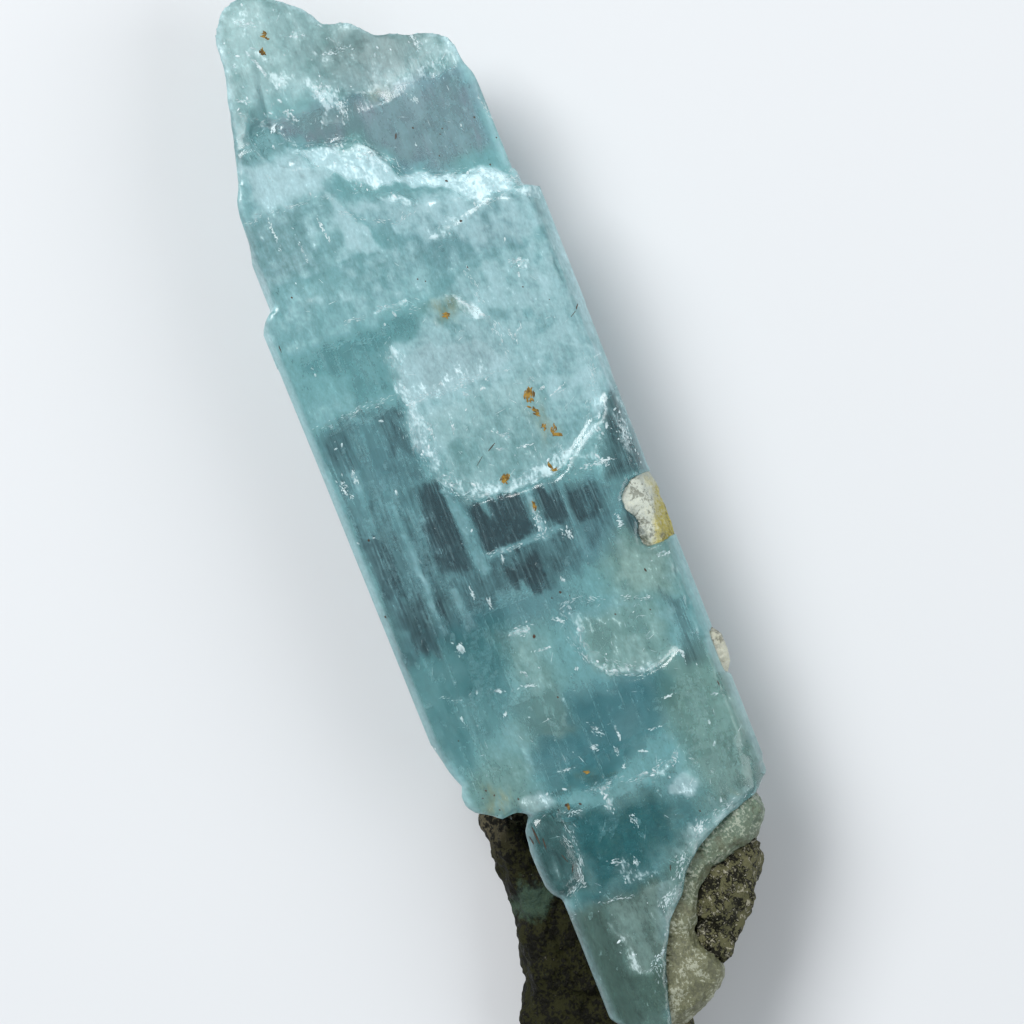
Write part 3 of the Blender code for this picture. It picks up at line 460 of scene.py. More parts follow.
# %% Rubbing down the steps
WORN = (                    # smoothing passes, a from, to, b from, to
    (60, 18.6, 22.6, -3.6, 9),
    (60, 30, 32.6, -8.6, 0),
    (7, -1, 6.4, -11.5, -5.6),
    (40, -25.4, -20.7, -10.2, 3.4),
)


def rub_down(piece, passes, low_a, high_a, low_b, high_b):
    """Smooths the front face's vertices within a rectangle, by hand in edit mode."""
    a, b, z = places_of(piece.data).T
    chosen = (a > low_a) & (a < high_a) & (b > low_b) & (b < high_b) & (z > FRONT / 2)
    select_only(piece)
    bpy.ops.object.mode_set(mode="EDIT")
    bpy.ops.mesh.select_mode(type="VERT")
    bpy.ops.mesh.select_all(action="DESELECT")
    bpy.ops.object.mode_set(mode="OBJECT")
    piece.data.vertices.foreach_set("select", chosen)
    bpy.ops.object.mode_set(mode="EDIT")
    bpy.ops.mesh.vertices_smooth(factor=0.5, repeat=passes)
    bpy.ops.object.mode_set(mode="OBJECT")
    print("rubbed down:", chosen.sum(), "vertices")


for patch_of_wear in WORN:
    rub_down(crystal, *patch_of_wear)

# %% [markdown]
# ## The crystal's relief
#
# Real prism faces carry fine ribs along their length, broken skins are crumbled, and long
# edges are nibbled. All three are pushed into the fine skin along its own normals, so that
# they catch the light in any view.

# %% Ribs, crumbled frost and nibbled edges
RIB = 0.03                  # height of the ribs along the prism
CRUMB = 0.16                # height of the crumbs on frosty skins
NIBBLE = 0.25               # deepest bite out of an edge
UNDERSIDE = 0.3             # below this height a skin is only pushed inwards, to lie flat

places = places_of(crystal.data)
outward = normals_of(crystal.data)
ribs = bumps(places, (16.0, 0.8, 0.8), 5.0) + 0.7 * bumps(places, (7.0, 0.5, 0.5), 6.0)
crumbs = bumps(places, (0.9, 0.9, 0.9), 7.0) + 0.6 * bumps(places, (0.5, 0.5, 0.5), 8.0)
facing = np.abs(outward[:, 2])
on_edge = ramp(facing, 0.53, 0.7) * (1.0 - ramp(facing, 0.85, 0.97))
bites = ramp(bumps(places, (1.3, 1.3, 1.3), 9.0), 0.0, 0.5) * on_edge
rough = crumbling(places, frost)
push = RIB * ribs * (1.0 - rough) + CRUMB * rough * (crumbs - 0.3) - NIBBLE * bites
push = np.where(places[:, 2] < UNDERSIDE, np.minimum(push, 0.0), push)
put_back(crystal.data, places + outward * push[:, None])
print("relief from", push.min().round(2), "to", push.max().round(2), "mm")

# %% [markdown]
# ## Sums with sockets
#
# A finish is a web of nodes. Adding each node by hand is long to read, so a small class wraps
# a socket and lets it be added and multiplied like a number, and one method adds any other
# node.

# %% A wire between nodes and a material's nodes
class Wire:
    """One output of a node. Sums with wires and numbers add Math nodes."""

    def __init__(self, finish, socket):
        self.finish = finish
        self.socket = socket

    def _sum(self, operation, first, second):
        return self.finish.node("Math", {"operation": operation}, {0: first, 1: second})

    def __add__(self, other):
        return self._sum("ADD", self, other)

    def __sub__(self, other):
        return self._sum("SUBTRACT", self, other)

    def __mul__(self, other):
        return self._sum("MULTIPLY", self, other)

    def __rsub__(self, other):
        return self._sum("SUBTRACT", other, self)

    __radd__ = __add__
    __rmul__ = __mul__


class Finish:
    """A material whose nodes are added one by one."""

    def __init__(self, name):
        self.material = bpy.data.materials.new(name)
        self.material.use_nodes = True
        self.tree = self.material.node_tree
        self.tree.nodes.clear()

    def node(self, kind, settings=None, values=None, output=0):
        """Adds a node: its settings are set first, then its sockets' values and links."""
        node = self.tree.nodes.new("ShaderNode" + kind)
        for key, value in (settings or {}).items():
            setattr(node, key, value)
        for key, value in (values or {}).items():
            if isinstance(value, Wire):
                self.tree.links.new(value.socket, node.inputs[key])
            else:
                node.inputs[key].default_value = value
        return Wire(self, node.outputs[output]) if node.outputs else None

    def millimetres(self):
        """The place on the prism's axes, in mm."""
        place = self.node("TexCoord", output="Object")
        shift = {0: place, 1: (1 / MM,) * 3, 2: (-SHIFT_A, -SHIFT_B, 0.0)}
        return self.node("VectorMath", {"operation": "MULTIPLY_ADD"}, shift)

    def part(self, place, axis):
        """The X, Y or Z of a place."""
        return self.node("SeparateXYZ", values={0: place}, output=axis)

    def noise(self, place, size, detail=3.0, roughness=0.55):
        """Noise from 0 to 1 that changes over `size` mm along a, b and z."""
        scaled = self.node("VectorMath", {"operation": "DIVIDE"}, {0: place, 1: size})
        values = {"Vector": scaled, "Scale": 1.0, "Detail": detail, "Roughness": roughness}
        return self.node("TexNoise", values=values)

    def rise(self, wire, low, high, top=1.0):
        """0 below `low`, `top` above `high` and a smooth rise between."""
        values = {"Value": wire, "From Min": low, "From Max": high, "To Max": top}
        return self.node("MapRange", {"interpolation_type": "SMOOTHSTEP"}, values)

    def marked(self, name):
        return self.node("Attribute", {"attribute_name": name}, output="Fac")

    def blend(self, share, first, second):
        """One colour turning into another as `share` goes from 0 to 1."""
        values = {0: share, 6: first, 7: second}
        return self.node("Mix", {"data_type": "RGBA"}, values, output=2)

    def surface(self, shader, volume=None):
        links = {"Surface": shader}
        if volume:
            links["Volume"] = volume
        self.node("OutputMaterial", values=links)
        return self.material


def tint(red, green, blue):
    """An on-screen colour from 0 to 255 as the linear colour that sockets take."""
    screen = (value / 255 for value in (red, green, blue))
    linear = [v / 12.92 if v <= 0.04045 else ((v + 0.055) / 1.055) ** 2.4 for v in screen]
    return (*linear, 1.0)


# %% [markdown]
# ## The beryl's finish
#
# Two shaders share every point of the skin. Clear beryl is plain glass with beryl's own
# refractive index, tinted by a thin absorption inside. Milky beryl, full of veils too fine to
# model, is a plain pale finish that lets no light through. A mask mixes them: less milk in the
# windows, most on frost.

# %% Clear and milky beryl
PALE = tint(186, 217, 223)
AQUA = tint(142, 203, 206)
TEAL = tint(40, 122, 128)
AZURE = tint(80, 130, 150)
ASH = tint(122, 154, 134)
# Painted dark of the clear windows' milky share, for a dark background seen through them.
PAINTED_DARK_SLATE = tint(46, 70, 82)
MAUVE = tint(180, 188, 203)
VIOLET = tint(134, 144, 168)
SNOW = tint(222, 238, 241)
OCHRE = tint(110, 106, 56)
LIGHT = tint(224, 248, 250)
# Painted dark of the clear windows' glass share, for the same dark background.
PAINTED_DARK_TINT = tint(40, 60, 70)
BERYL_IOR = 1.58
CRUMB_SIZE = (1.4, 0.6, 0.8)    # mottling of the skin, drawn out along the prism
GRIT_SIZE = (0.34, 0.2, 0.3)    # sugary grains of frost
HATCH_SIZE = (2.4, 0.13, 0.8)   # hair-fine growth lines
ABSORPTION = {"Color": (0.2, 0.88, 0.93, 1.0), "Density": 14.0}


def beryl_finish():
    finish = Finish("beryl")
    place = finish.millimetres()
    crumb = finish.noise(place, CRUMB_SIZE, 3.0, 0.72)
    grit = finish.noise(place, GRIT_SIZE, 2.0, 0.7)
    milk = finish.marked("milk")
    milk = milk * 0.72 + finish.rise(milk + crumb * 1.1, 0.75, 1.25, 0.28)
    dark = finish.marked("dark")
    hatch = finish.noise(place, HATCH_SIZE, 2.0, 0.65)
    tip = finish.rise(finish.part(place, "X"), 21.0, 25.0)

    rough = finish.marked("rough")
    snow = finish.rise(finish.marked("snow") + crumb * 0.45 + grit * 0.55, 0.66, 0.84)
    # The clear windows are painted dark, broken by the hair-fine growth lines.
    windows = finish.rise(dark * (1.8 - hatch * 1.6), 0.06, 1.0)
    # Painted light: a pale glow along the crystal's sides, which also makes them milkier.
    rim = finish.rise(finish.marked("side"), 0.8, 0.15)
    threads = finish.rise(hatch, 0.54, 0.7) * windows

    colour = finish.blend(finish.marked("deep_and_painted_shade"), AQUA, TEAL)
    colour = finish.blend(finish.marked("blue") * 0.6, colour, finish.blend(tip, AZURE, VIOLET))
    colour = finish.blend(milk * 0.85, colour, PALE)
    colour = finish.blend(finish.marked("grey") * 0.7, colour, ASH)
    seen_through = finish.blend(0.6, colour, LIGHT)
    # In the clear windows both shares are painted dark slate, for a dark background seen through
    # them, and pale mauve at the tip.
    seen_through = finish.blend(windows * 0.85, seen_through, finish.blend(tip, PAINTED_DARK_TINT, MAUVE))
    colour = finish.blend(windows * 0.8, colour, finish.blend(tip, PAINTED_DARK_SLATE, MAUVE))
    colour = finish.blend(threads * 0.35, colour, PALE)
    colour = finish.blend(rim * 0.5, colour, PALE)
    # The brightness carries the painted shade and painted light along with the mottling.
    value = 0.29 + finish.marked("tone_and_painted_light") * 0.3 + crumb * 0.46 + grit * 0.6
    bright = finish.node("HueSaturation", values={"Value": value, "Color": colour})
    colour = finish.blend(snow * 0.5, bright, SNOW)
    stain = finish.marked("rust") * finish.rise(crumb, 0.35, 0.6)
    colour = finish.blend(stain, colour, OCHRE)

    share = 0.4 + milk * 0.25 + snow * 0.3 + rim * 0.2 - windows * 0.1
    height = hatch * 0.25 + crumb * 0.7
    bump = {"Height": height, "Strength": 0.5, "Distance": 0.1 * MM}
    normal = finish.node("Bump", values=bump)
    clear = finish.node("BsdfPrincipled", values={
        "Base Color": seen_through, "Roughness": 0.05 + rough * 0.9, "IOR": BERYL_IOR,
        "Transmission Weight": 1.0, "Normal": normal})
    milky = finish.node("BsdfPrincipled", values={
        "Base Color": colour, "Roughness": 0.3 + rough * 0.9, "IOR": BERYL_IOR,
        "Normal": normal})
    both = finish.node("MixShader", values={0: share + stain * 0.3, 1: clear, 2: milky})
    return finish.surface(both, finish.node("VolumeAbsorption", values=ABSORPTION))


crystal.data.materials.append(beryl_finish())
print("beryl finish:", len(crystal.data.materials[0].node_tree.nodes), "nodes")

# %% [markdown]
# ## Inside the crystal
#
# What makes a beryl look deep is what hangs in it: hollow growth tubes along its length, small
# bright flakes, and healed cracks that cross it as crinkled veils. Each kind is modelled once
# with a few faces and copied, every copy with its own place, size and turn. They lie under the
# skin and are seen through the clear share of the beryl.

# %% One tube and one flake to copy
def template(name, add, **sizes):
    """Adds a primitive as the start of a shape, selected all over in edit mode."""
    bpy.ops.object.select_all(action="DESELECT")
    add(**sizes)
    piece = bpy.context.object
    piece.name = name
    return piece


def select_faces(piece, wanted):
    """Selects the faces that `wanted` holds for, in edit mode."""
    bpy.ops.object.mode_set(mode="EDIT")
    bpy.ops.mesh.select_mode(type="FACE")
    bpy.ops.mesh.select_all(action="DESELECT")
    bpy.ops.object.mode_set(mode="OBJECT")
    for face in piece.data.polygons:
        face.select = wanted(face)
    bpy.ops.object.mode_set(mode="EDIT")


def tube_template():
    """A five-sided tube along a, drawn to a point at both ends."""
    tube = template("tube", bpy.ops.mesh.primitive_cylinder_add, vertices=5, radius=0.5,
                    depth=1.0, rotation=(0.0, math.pi / 2, 0.0))
    bpy.ops.object.transform_apply(rotation=True)
    select_faces(tube, lambda face: abs(face.normal.x) > 0.9)
    bpy.ops.mesh.extrude_faces_move(TRANSFORM_OT_shrink_fatten={"value": 0.15})
    bpy.ops.transform.resize(value=(1.0, 0.15, 0.15))
    bpy.ops.object.mode_set(mode="OBJECT")
    return tube


def flake_template():
    """A flat angular flake."""
    flake = template("flake", bpy.ops.mesh.primitive_ico_sphere_add, subdivisions=1,
                     radius=0.5)
    select_faces(flake, lambda face: face.center.x + 0.6 * face.center.y > 0.3)
    bpy.ops.transform.translate(value=(0.25, 0.05, 0.0))
    bpy.ops.object.mode_set(mode="OBJECT")
    return flake


# %% Copies inside the crystal
def skin_tree(piece):
    """A tree of the skin's faces that finds the nearest one to a point."""
    corners = [vertex.co.copy() for vertex in piece.data.vertices]
    return BVHTree.FromPolygons(corners, [face.vertices for face in piece.data.polygons])


crystal_tree = skin_tree(crystal)


def well_inside(place, clearance):
    """True if a place lies in the crystal, at least `clearance` mm under its skin."""
    point = at(*place)
    nearest, normal, _, gap = crystal_tree.find_nearest(point)
    return (nearest - point).dot(normal) > 0.0 and gap > clearance * MM


def scattered(placing, count, clearance):
    """`count` placings that lie inside the crystal."""
    kept = []
    while len(kept) < count:
        place, sizes, turn = placing()
        ends = [(place[0] + way * sizes[0] / 2, place[1], place[2]) for way in (-1, 0, 1)]
        if all(well_inside(end, clearance) for end in ends):
            kept.append((place, sizes, turn))
    return kept


def copies(name, start, placings):
    """One piece made of a copy of `start` at each (place, sizes, turn) in mm and radians."""
    shape = np.array([vertex.co for vertex in start.data.vertices])
    faces = [tuple(polygon.vertices) for polygon in start.data.polygons]
    corners = []
    all_faces = []
    for place, sizes, turn in placings:
        turned = Euler(turn).to_matrix()
        offset = len(corners)
        corners += [at(*place) + turned @ Vector(point * sizes) * MM for point in shape]
        all_faces += [tuple(index + offset for index in face) for face in faces]
    mesh = bpy.data.meshes.new(name)
    mesh.from_pydata(corners, [], all_faces)
    piece = bpy.data.objects.new(name, mesh)
    bpy.context.scene.collection.objects.link(piece)
    bpy.data.objects.remove(start)
    print(name, "has", len(placings), "copies and", len(all_faces), "faces")
    return piece


TUBES = 260
FLAKES = 420
DEEPEST = 5.0               # how far under the front face they hang at most
chance = random.Random(7)


def tube_placing():
    length = chance.uniform(0.8, 2.0) ** 2.4
    width = chance.uniform(0.04, 0.13)
    depth = chance.uniform(0.25, 1.0) ** 2 * DEEPEST
    place = (chance.uniform(-20.0, 33.0), chance.gauss(3.0, 5.0), FRONT - 0.3 - depth)
    return place, (length, width, width), (chance.uniform(0.0, 6.0), 0.0, 0.0)


def flake_placing():
    size = chance.uniform(0.12, 0.5)
    place = (chance.uniform(-34.0, 38.0), chance.uniform(-10.0, 10.0),
             FRONT - 0.5 - chance.uniform(0.0, 1.0) ** 2 * DEEPEST)
    sizes = (size * chance.uniform(0.8, 2.2), size, size * 0.15)
    turn = tuple(chance.uniform(-0.8, 0.8) for _ in range(3))
    return place, sizes, turn


tubes = copies("growth_tubes", tube_template(), scattered(tube_placing, TUBES, 0.2))
flakes = copies("inner_flakes", flake_template(), scattered(flake_placing, FLAKES, 0.3))

# %% [markdown]
# ## Frost, marks and dust on the skin
#
# Frost is loose sugar-like splinters of beryl along every broken rim. They are scattered where
# the frosty zones are strong, half sunk in the skin. The bright sprays, the cracks, the iron
# stains, the dust grains and the fibres each have a place of their own.

# %% Splinters scattered by the frosty zones
SPLINTERS = 2600
TRIES = 16                  # places tried for each splinter
SUNK = 0.01                 # how far a splinter's middle lies under the skin
RISE = 0.07                 # the most that it may rise from one end to the other


def on_skin(a, b, sunk=0.0):
    """The place on the front skin above (a, b), `sunk` mm under it, or None beside it."""
    hit, _, _, _ = crystal_tree.ray_cast(at(a, b, 2 * FRONT), Vector((0.0, 0.0, -1.0)))
    return (a, b, hit.z / MM - sunk) if hit else None


def splinter(a, b, length, width, degrees, thickness=0.06):
    """A list with one placing on the skin at (a, b), or none if it would stick out beside it."""
    way = math.radians(degrees)
    step_a, step_b = length / 2 * math.cos(way), length / 2 * math.sin(way)
    held = all([on_skin(a + side * step_a, b + side * step_b) for side in (-1.2, 0.0, 1.2)])
    steep = min(0.4, RISE / length)
    tilt = (chance.uniform(-steep, steep), chance.uniform(-steep, steep))
    return [(on_skin(a, b, SUNK), (length, width, thickness), (*tilt, way))] if held else []


def frosty_placings():
    """Small splinters where a random place meets strong enough frost."""
    tries = np.array([(chance.uniform(-37.0, 40.0), chance.uniform(-11.0, 11.0), FRONT)
                      for _ in range(TRIES * SPLINTERS)])
    patchy = 0.5 + fractal(tries, (2.2, 1.6, 1.0), 40.0, octaves=3)
    density = 0.6 * zone_strength(tries + wandering(tries), FROST) * patchy
    density += 0.03 * ramp(tries[:, 0], 28.0, 33.0) + 0.035 * ramp(patchy, 0.5, 1.2)
    placings = []
    for (a, b, _), odds in zip(tries, density):
        size = 0.04 + 0.18 * chance.random() ** 4
        if chance.random() < odds:
            placings += splinter(a, b, size * chance.uniform(1.0, 2.4), size,
                                 chance.gauss(0.0, 40.0), 0.4 * size)
    return placings[:SPLINTERS]


splinters = copies("frost_splinters", flake_template(), frosty_placings())

# %% Places of the sprays, cracks, scratches, stains, dust and fibres
# The square of white splinters at a -7.9, b 6.25 is a painted highlight.
SPRAYS = (                  # a, b, length, width, turn from the prism's length in degrees
    (35.4, 4.25, 2.3, 0.34, 19), (-7.9, 6.25, 0.7, 0.7, 0), (-18.45, 2.5, 1.2, 0.14, 86),
    (-23.5, -0.55, 1.2, 0.5, 5), (-20.4, -4.9, 1, 0.5, -20), (-20.6, 0.7, 0.6, 0.4, 0),
    (6.5, -6.7, 2, 0.12, -70), (7, -5.7, 0.6, 0.2, -75), (5, -2.1, 1.1, 0.4, 60),
    (4.15, -1.5, 0.8, 0.22, 70), (3.7, -3.2, 1, 0.2, 80), (-14, -8, 0.8, 0.25, 0),
    (6.1, 8.7, 1, 0.4, 5), (5.6, 9.6, 1.3, 0.5, 8), (-4.5, 4.1, 0.8, 0.3, 10),
    (-3.1, -3.7, 0.9, 0.6, 0), (-16.3, -6.1, 1.2, 0.2, 80), (-25.7, 1.7, 0.9, 0.5, 70),
    (8.6, -0.7, 0.45, 0.3, 60), (8.6, -1.9, 0.3, 0.3, 0), (-6, -2.2, 0.4, 0.25, 0),
    (30.6, 0, 1.8, 0.8, 5), (32.2, 0.9, 1.4, 1, 0), (29.2, -5.1, 0.8, 0.4, 0),
    (26.8, -9.5, 1.6, 0.3, 10), (22.9, 4.3, 2.4, 0.2, 5), (-1.6, -2.1, 2.4, 0.5, 0),
    (14.6, -2.9, 1.6, 0.25, 35), (13.4, -3.8, 1, 0.2, 50), (33.6, 6.3, 0.9, 0.3, 70),
    (-8.2, 2, 1.6, 0.6, 90), (-10, 0.8, 1.6, 0.2, 85), (-8.5, -0.9, 0.9, 0.3, 60),
    (-11.2, 2.7, 0.9, 0.3, 30), (-12, 2.7, 1.2, 0.3, 80), (-18, -4.3, 1, 0.2, 85),
    (-17.3, -9.1, 0.5, 0.3, 60), (-12.1, -0.7, 0.3, 0.3, 0), (-13.3, 5.1, 0.3, 0.3, 0),
    (-12.5, 8, 0.9, 0.12, 12), (-11.5, 5, 1, 0.3, 60), (-16.6, -0.4, 1.4, 0.4, 30),
    (-17.7, 0.1, 0.6, 0.6, 60), (-18.5, -1.2, 0.5, 0.25, 0), (-19.7, -1.3, 0.4, 0.2, 0),
    (-19.2, -3, 0.8, 0.15, 65), (-21.4, 3.1, 1.1, 0.4, 80), (-21.8, 0.6, 1.4, 0.3, 0),
    (-26.3, 0.4, 0.8, 0.5, 0), (-17.4, -1.8, 1.2, 0.3, 0), (2, -10, 2.2, 0.7, 0),
    (0.7, -7.6, 2.6, 0.5, 85), (7.2, 2.5, 2, 0.3, 5), (6.7, 1, 1.2, 0.2, 0),
    (16, -7.5, 1.2, 0.4, 80), (-3, 1.2, 0.8, 0.2, 0), (-5.6, 3.2, 0.8, 0.3, 0),
    (24, 7.6, 3, 0.2, 0), (22.4, 6.2, 2.4, 0.15, 3), (27, -0.4, 2, 0.6, 60),
    (21.6, -9.2, 2.4, 0.8, 75), (33, -6.6, 2.4, 0.5, 10), (31.6, 3.6, 1.6, 0.6, 30),
    (36.6, 1.2, 1.6, 0.4, 75), (38.6, 4, 1.4, 0.5, 60), (34.6, -1.2, 2, 0.4, 85),
    (-25.7, -4.6, 1.2, 0.8, -40), (-27.4, -2.6, 1.2, 0.7, -45), (-29.6, -0.6, 1.2, 0.6, -45),
    (-33, 1.4, 1.6, 0.4, -65), (-2.1, -9, 1.6, 0.5, 88), (-6.9, -9.6, 1.4, 0.4, 88),
    (-3.6, -7.4, 0.4, 1.2, 88), (-4.6, -9.3, 1.2, 0.8, 0),
)
CRACKS = (                  # width, corners (a, b)
    (0.1, ((-9.3, -7.5), (-8.3, -4), (-7.5, -2.5), (-7.7, -1.2), (-10.2, -1.3), (-12.2, -1.9),
     (-13.5, -3.2), (-14.2, -4.6), (-14, -6.7))),
    (0.1, ((-9.4, -2.2), (-11, -2), (-12.9, -3.4), (-13.6, -4.8))),
    (0.12, ((-20.3, 3.4), (-20.4, 1), (-20.7, -1), (-20.8, -3), (-20.5, -4.7))),
    (0.06, ((-10.3, 10.2), (-10.4, 9.2), (-10.8, 8))),
    (0.1, ((-20.8, -5.7), (-21.4, -6.2), (-22.2, -6.8))),
    (0.15, ((17, 3.5), (16.3, 2.8), (15.9, 1.2), (15.4, -0.4))),
    (0.1, ((16.6, 6), (16.4, 4.6), (15.8, 3.4))),
    (0.15, ((15.8, -1.5), (14.6, -3), (13.3, -4.2))),
    (0.1, ((16.8, -4), (14, -4.2), (10, -4.5))),
    (0.3, ((13.5, 3.4), (10.5, 3.5), (6.2, 3.75), (4, 3.2), (2, 2), (1.2, -1), (1.1, -3.5),
     (0.7, -5.5), (0, -8))),
    (0.15, ((8, -9.6), (6, -9.3), (3.7, -8), (2.5, -5.5))),
    (0.12, ((9.4, 2.9), (9.3, 0), (9.4, -3), (9.1, -4.5), (7.6, -5.6))),
    (0.12, ((10.2, 10), (10.25, 7), (10.3, 4))),
    (0.06, ((11.9, -5), (10.8, -5.4))),
    (0.06, ((11.6, -6.3), (10.4, -5.4))),
    (0.1, ((-2.4, 2), (-2.5, 0), (-2.6, -3))),
    (0.08, ((25.5, 9.3), (25.6, 7), (25.2, 4.6), (25, 3))),
    (0.06, ((31, 6.5), (28, 6.3), (25.6, 6.4))),
    (0.12, ((33, 7), (31.6, 5.6), (30.4, 4.4), (29.2, 4))),
    (0.25, ((29, 3.8), (28, 0), (26, -1.6), (24.5, -2.4), (23.5, -5), (23, -6.5), (22.5, -8),
     (20.9, -10))),
    (0.1, ((24, 3), (22.6, 1.4), (21.4, -1), (22.2, -2.4))),
    (0.1, ((20.6, -10.4), (20.4, -8), (20.9, -6))),
    (0.1, ((-28.2, 6), (-28.1, 3.6), (-28.3, 0.6))),
    (0.08, ((-21, 4), (-23.4, 3.8), (-26.2, 4.4), (-26.8, 5.6))),
    (0.08, ((-22.6, 4.6), (-24.2, 4), (-25.8, 4.2), (-26.6, 5.2))),
    (0.06, ((-33.6, 3.6), (-33.4, 2), (-33.8, 0.6))),
    (0.25, ((-24.4, -9.2), (-24.9, -7.2), (-25.5, -5), (-26.8, -3.3), (-28.7, -1.5), (-30.4, 0.2),
     (-32.3, 1.1), (-34.8, 2))),
)
SCRATCHED = (               # scratches, a from, to, b from, to
    (110, 1.5, 16, -10.5, 3.4), (90, 17, 38, -9.5, 9), (70, -28, -7, -10, 9),
    (90, 1.2, 8.6, -6.6, 3.2), (50, -13.4, -9.2, -7, -1.8), (16, 24.6, 30, -8.4, -2.2),
    (40, 24, 34, -1, 8), (16, -7, 1, -6, 10), (16, -27, -19, -6, 3.4),
)
STAINS = (                  # a, b, length, width, turn
    (6.9, -4.7, 1.1, 0.7, -20), (7.2, -4.9, 0.4, 0.5, 0), (2, -0.9, 0.9, 0.45, -40),
    (2.2, -1.2, 0.3, 0.4, 0), (4.5, -4.9, 0.4, 0.25, -30), (4, -5.5, 0.8, 0.3, -40),
    (3.6, -5.6, 0.6, 0.25, 60), (1.4, -4.5, 0.7, 0.2, 80), (1.7, -4.3, 0.4, 0.15, 20),
    (-0.5, -2.2, 0.6, 0.3, -10), (14.2, -1.5, 0.5, 0.35, 60), (37.4, 3.1, 0.5, 0.5, 60),
    (36.3, 3.7, 0.4, 0.3, 0), (-19.1, 1.2, 0.3, 0.12, 80), (5.6, -4.8, 0.9, 0.3, 20),
    (-20.9, 3.4, 0.3, 0.2, 0),
)
DUST = (                    # a, b, size
    (19.95, -4.9, 0.2), (-8.9, 1.2, 0.34), (-6.75, -1.7, 0.2), (-6.9, -1, 0.12), (1.6, 9.4, 0.2),
    (-3.8, 10.3, 0.18), (23, -5, 0.2), (22.95, -6.6, 0.17), (23, -8.3, 0.14), (26.6, -6.1, 0.12),
    (26.3, -5.8, 0.13), (24.9, -5.2, 0.12), (27.4, -4.2, 0.16), (26.5, -8.5, 0.15),
    (16.8, -4.1, 0.13), (14.1, -7.2, 0.12), (35, -3.9, 0.15), (17.35, -0.55, 0.14),
    (17, -1, 0.13), (-9.6, -4.7, 0.14), (-24.6, -5.1, 0.14), (24.6, -9.4, 0.12),
    (12.6, -8.6, 0.1), (19.4, 8.1, 0.16), (-7.2, -2.2, 0.1), (-10.2, -7.1, 0.12),
    (-13.5, 1.2, 0.16), (-13.75, 8.8, 0.1), (-17.7, 8.3, 0.16), (-18.1, 8.7, 0.14),
    (-18.2, 7.9, 0.18), (-19.3, 7.9, 0.14), (-19.6, 8.2, 0.12), (-19.1, 6.4, 0.16),
    (-20.8, 3.4, 0.3), (-21, 2.5, 0.22),
)
FIBRES = (                  # a, b, length, width, turn
    (4.4, -0.8, 0.9, 0.09, -62), (3.9, 0.15, 1.1, 0.05, -52), (11.3, -10.1, 0.6, 0.1, -40),
    (11, -9.7, 0.5, 0.06, -60), (27.3, -2.85, 0.45, 0.13, -25), (16.3, 10.2, 0.5, 0.1, 0),
    (-7.55, -7.8, 0.3, 0.14, 5), (-27.6, -1.65, 0.5, 0.08, -20), (-32.4, 0.55, 0.4, 0.1, -60),
    (-22.3, 6.2, 1.6, 0.14, 4), (-22.9, 5.9, 1, 0.1, -5), (-22.4, 6.6, 0.9, 0.1, 8),
    (-24, 5, 1.2, 0.08, 20), (-25.2, 4.8, 0.8, 0.06, -30), (-16.8, -9.6, 0.4, 0.1, 0),
)


# %% Sprays, cracks and scratches made of splinters
CRACK_STEP = 0.05           # how close the splinters of a crack lie
CRACK_SPLINTER = 0.22       # their length


def spray(a, b, length, width, degrees, coarseness=1.0):
    """A ragged cluster of splinters that together look `length` by `width` mm."""
    placings = []
    way = math.radians(degrees)
    for _ in range(int(8 + 44 * length * width)):
        along, across = chance.gauss(0.0, 0.24) * length, chance.gauss(0.0, 0.26) * width
        size = chance.uniform(0.04, 0.13) * coarseness
        placings += splinter(a + along * math.cos(way) - across * math.sin(way),
                             b + along * math.sin(way) + across * math.cos(way),
                             2.0 * size, 0.8 * size, degrees + chance.gauss(0.0, 20.0))
    return placings


def crack(width, corners):
    """Splinters along a line, with gaps where the crack lies deeper."""
    placings = []
    for (a0, b0), (a1, b1) in zip(corners, corners[1:]):
        degrees = math.degrees(math.atan2(b1 - b0, a1 - a0))
        steps = int(math.hypot(a1 - a0, b1 - b0) / CRACK_STEP)
        for step in range(steps):
            share = (step + chance.random()) / steps
            a, b = a0 + (a1 - a0) * share, b0 + (b1 - b0) * share
            crooked = 0.5 * noise.noise(Vector((a / 0.9, b / 0.9, 3.5)))
            if noise.noise(Vector((a / 1.2, b / 1.2, 9.5))) > chance.uniform(-0.3, 0.15):
                placings += splinter(a + crooked + chance.gauss(0.0, width),
                                     b + crooked + chance.gauss(0.0, width),
                                     CRACK_SPLINTER, chance.uniform(0.02, 0.05),
                                     degrees + chance.gauss(0.0, 12.0))
    return placings


def scratch(low_a, high_a, low_b, high_b):
    """One hair-thin scratch somewhere in a rectangle."""
    return splinter(chance.uniform(low_a, high_a), chance.uniform(low_b, high_b),
                    chance.uniform(0.3, 1.0) ** 2 * 1.2, chance.uniform(0.02, 0.04),
                    chance.choice((-70, -50, 40, 75, 0, 0)) + chance.gauss(0.0, 14.0), 0.02)


bright = [placing for spot in SPRAYS for placing in spray(*spot)]
# Two more splinters: a bright rod near the tip and, as a painted highlight, the white square at a
# -7.9, b 6.25.
bright += splinter(35.4, 4.25, 2.2, 0.26, 19.0) + splinter(-7.9, 6.25, 0.6, 0.6, 0.0)
bright += [placing for count, *area in SCRATCHED for _ in range(count)
           for placing in scratch(*area)]
bright += [placing for line in CRACKS for placing in crack(*line)]
marks = copies("bright_splinters", flake_template(), bright)
stains = copies("iron_stains", flake_template(),
                [placing for spot in STAINS for placing in spray(*spot, 1.7)])
grains = [placing for a, b, size in DUST for placing in splinter(a, b, size, size, 100 * size)]
grains += [placing for fibre in FIBRES for placing in splinter(*fibre)]
dust = copies("dust", flake_template(), grains)

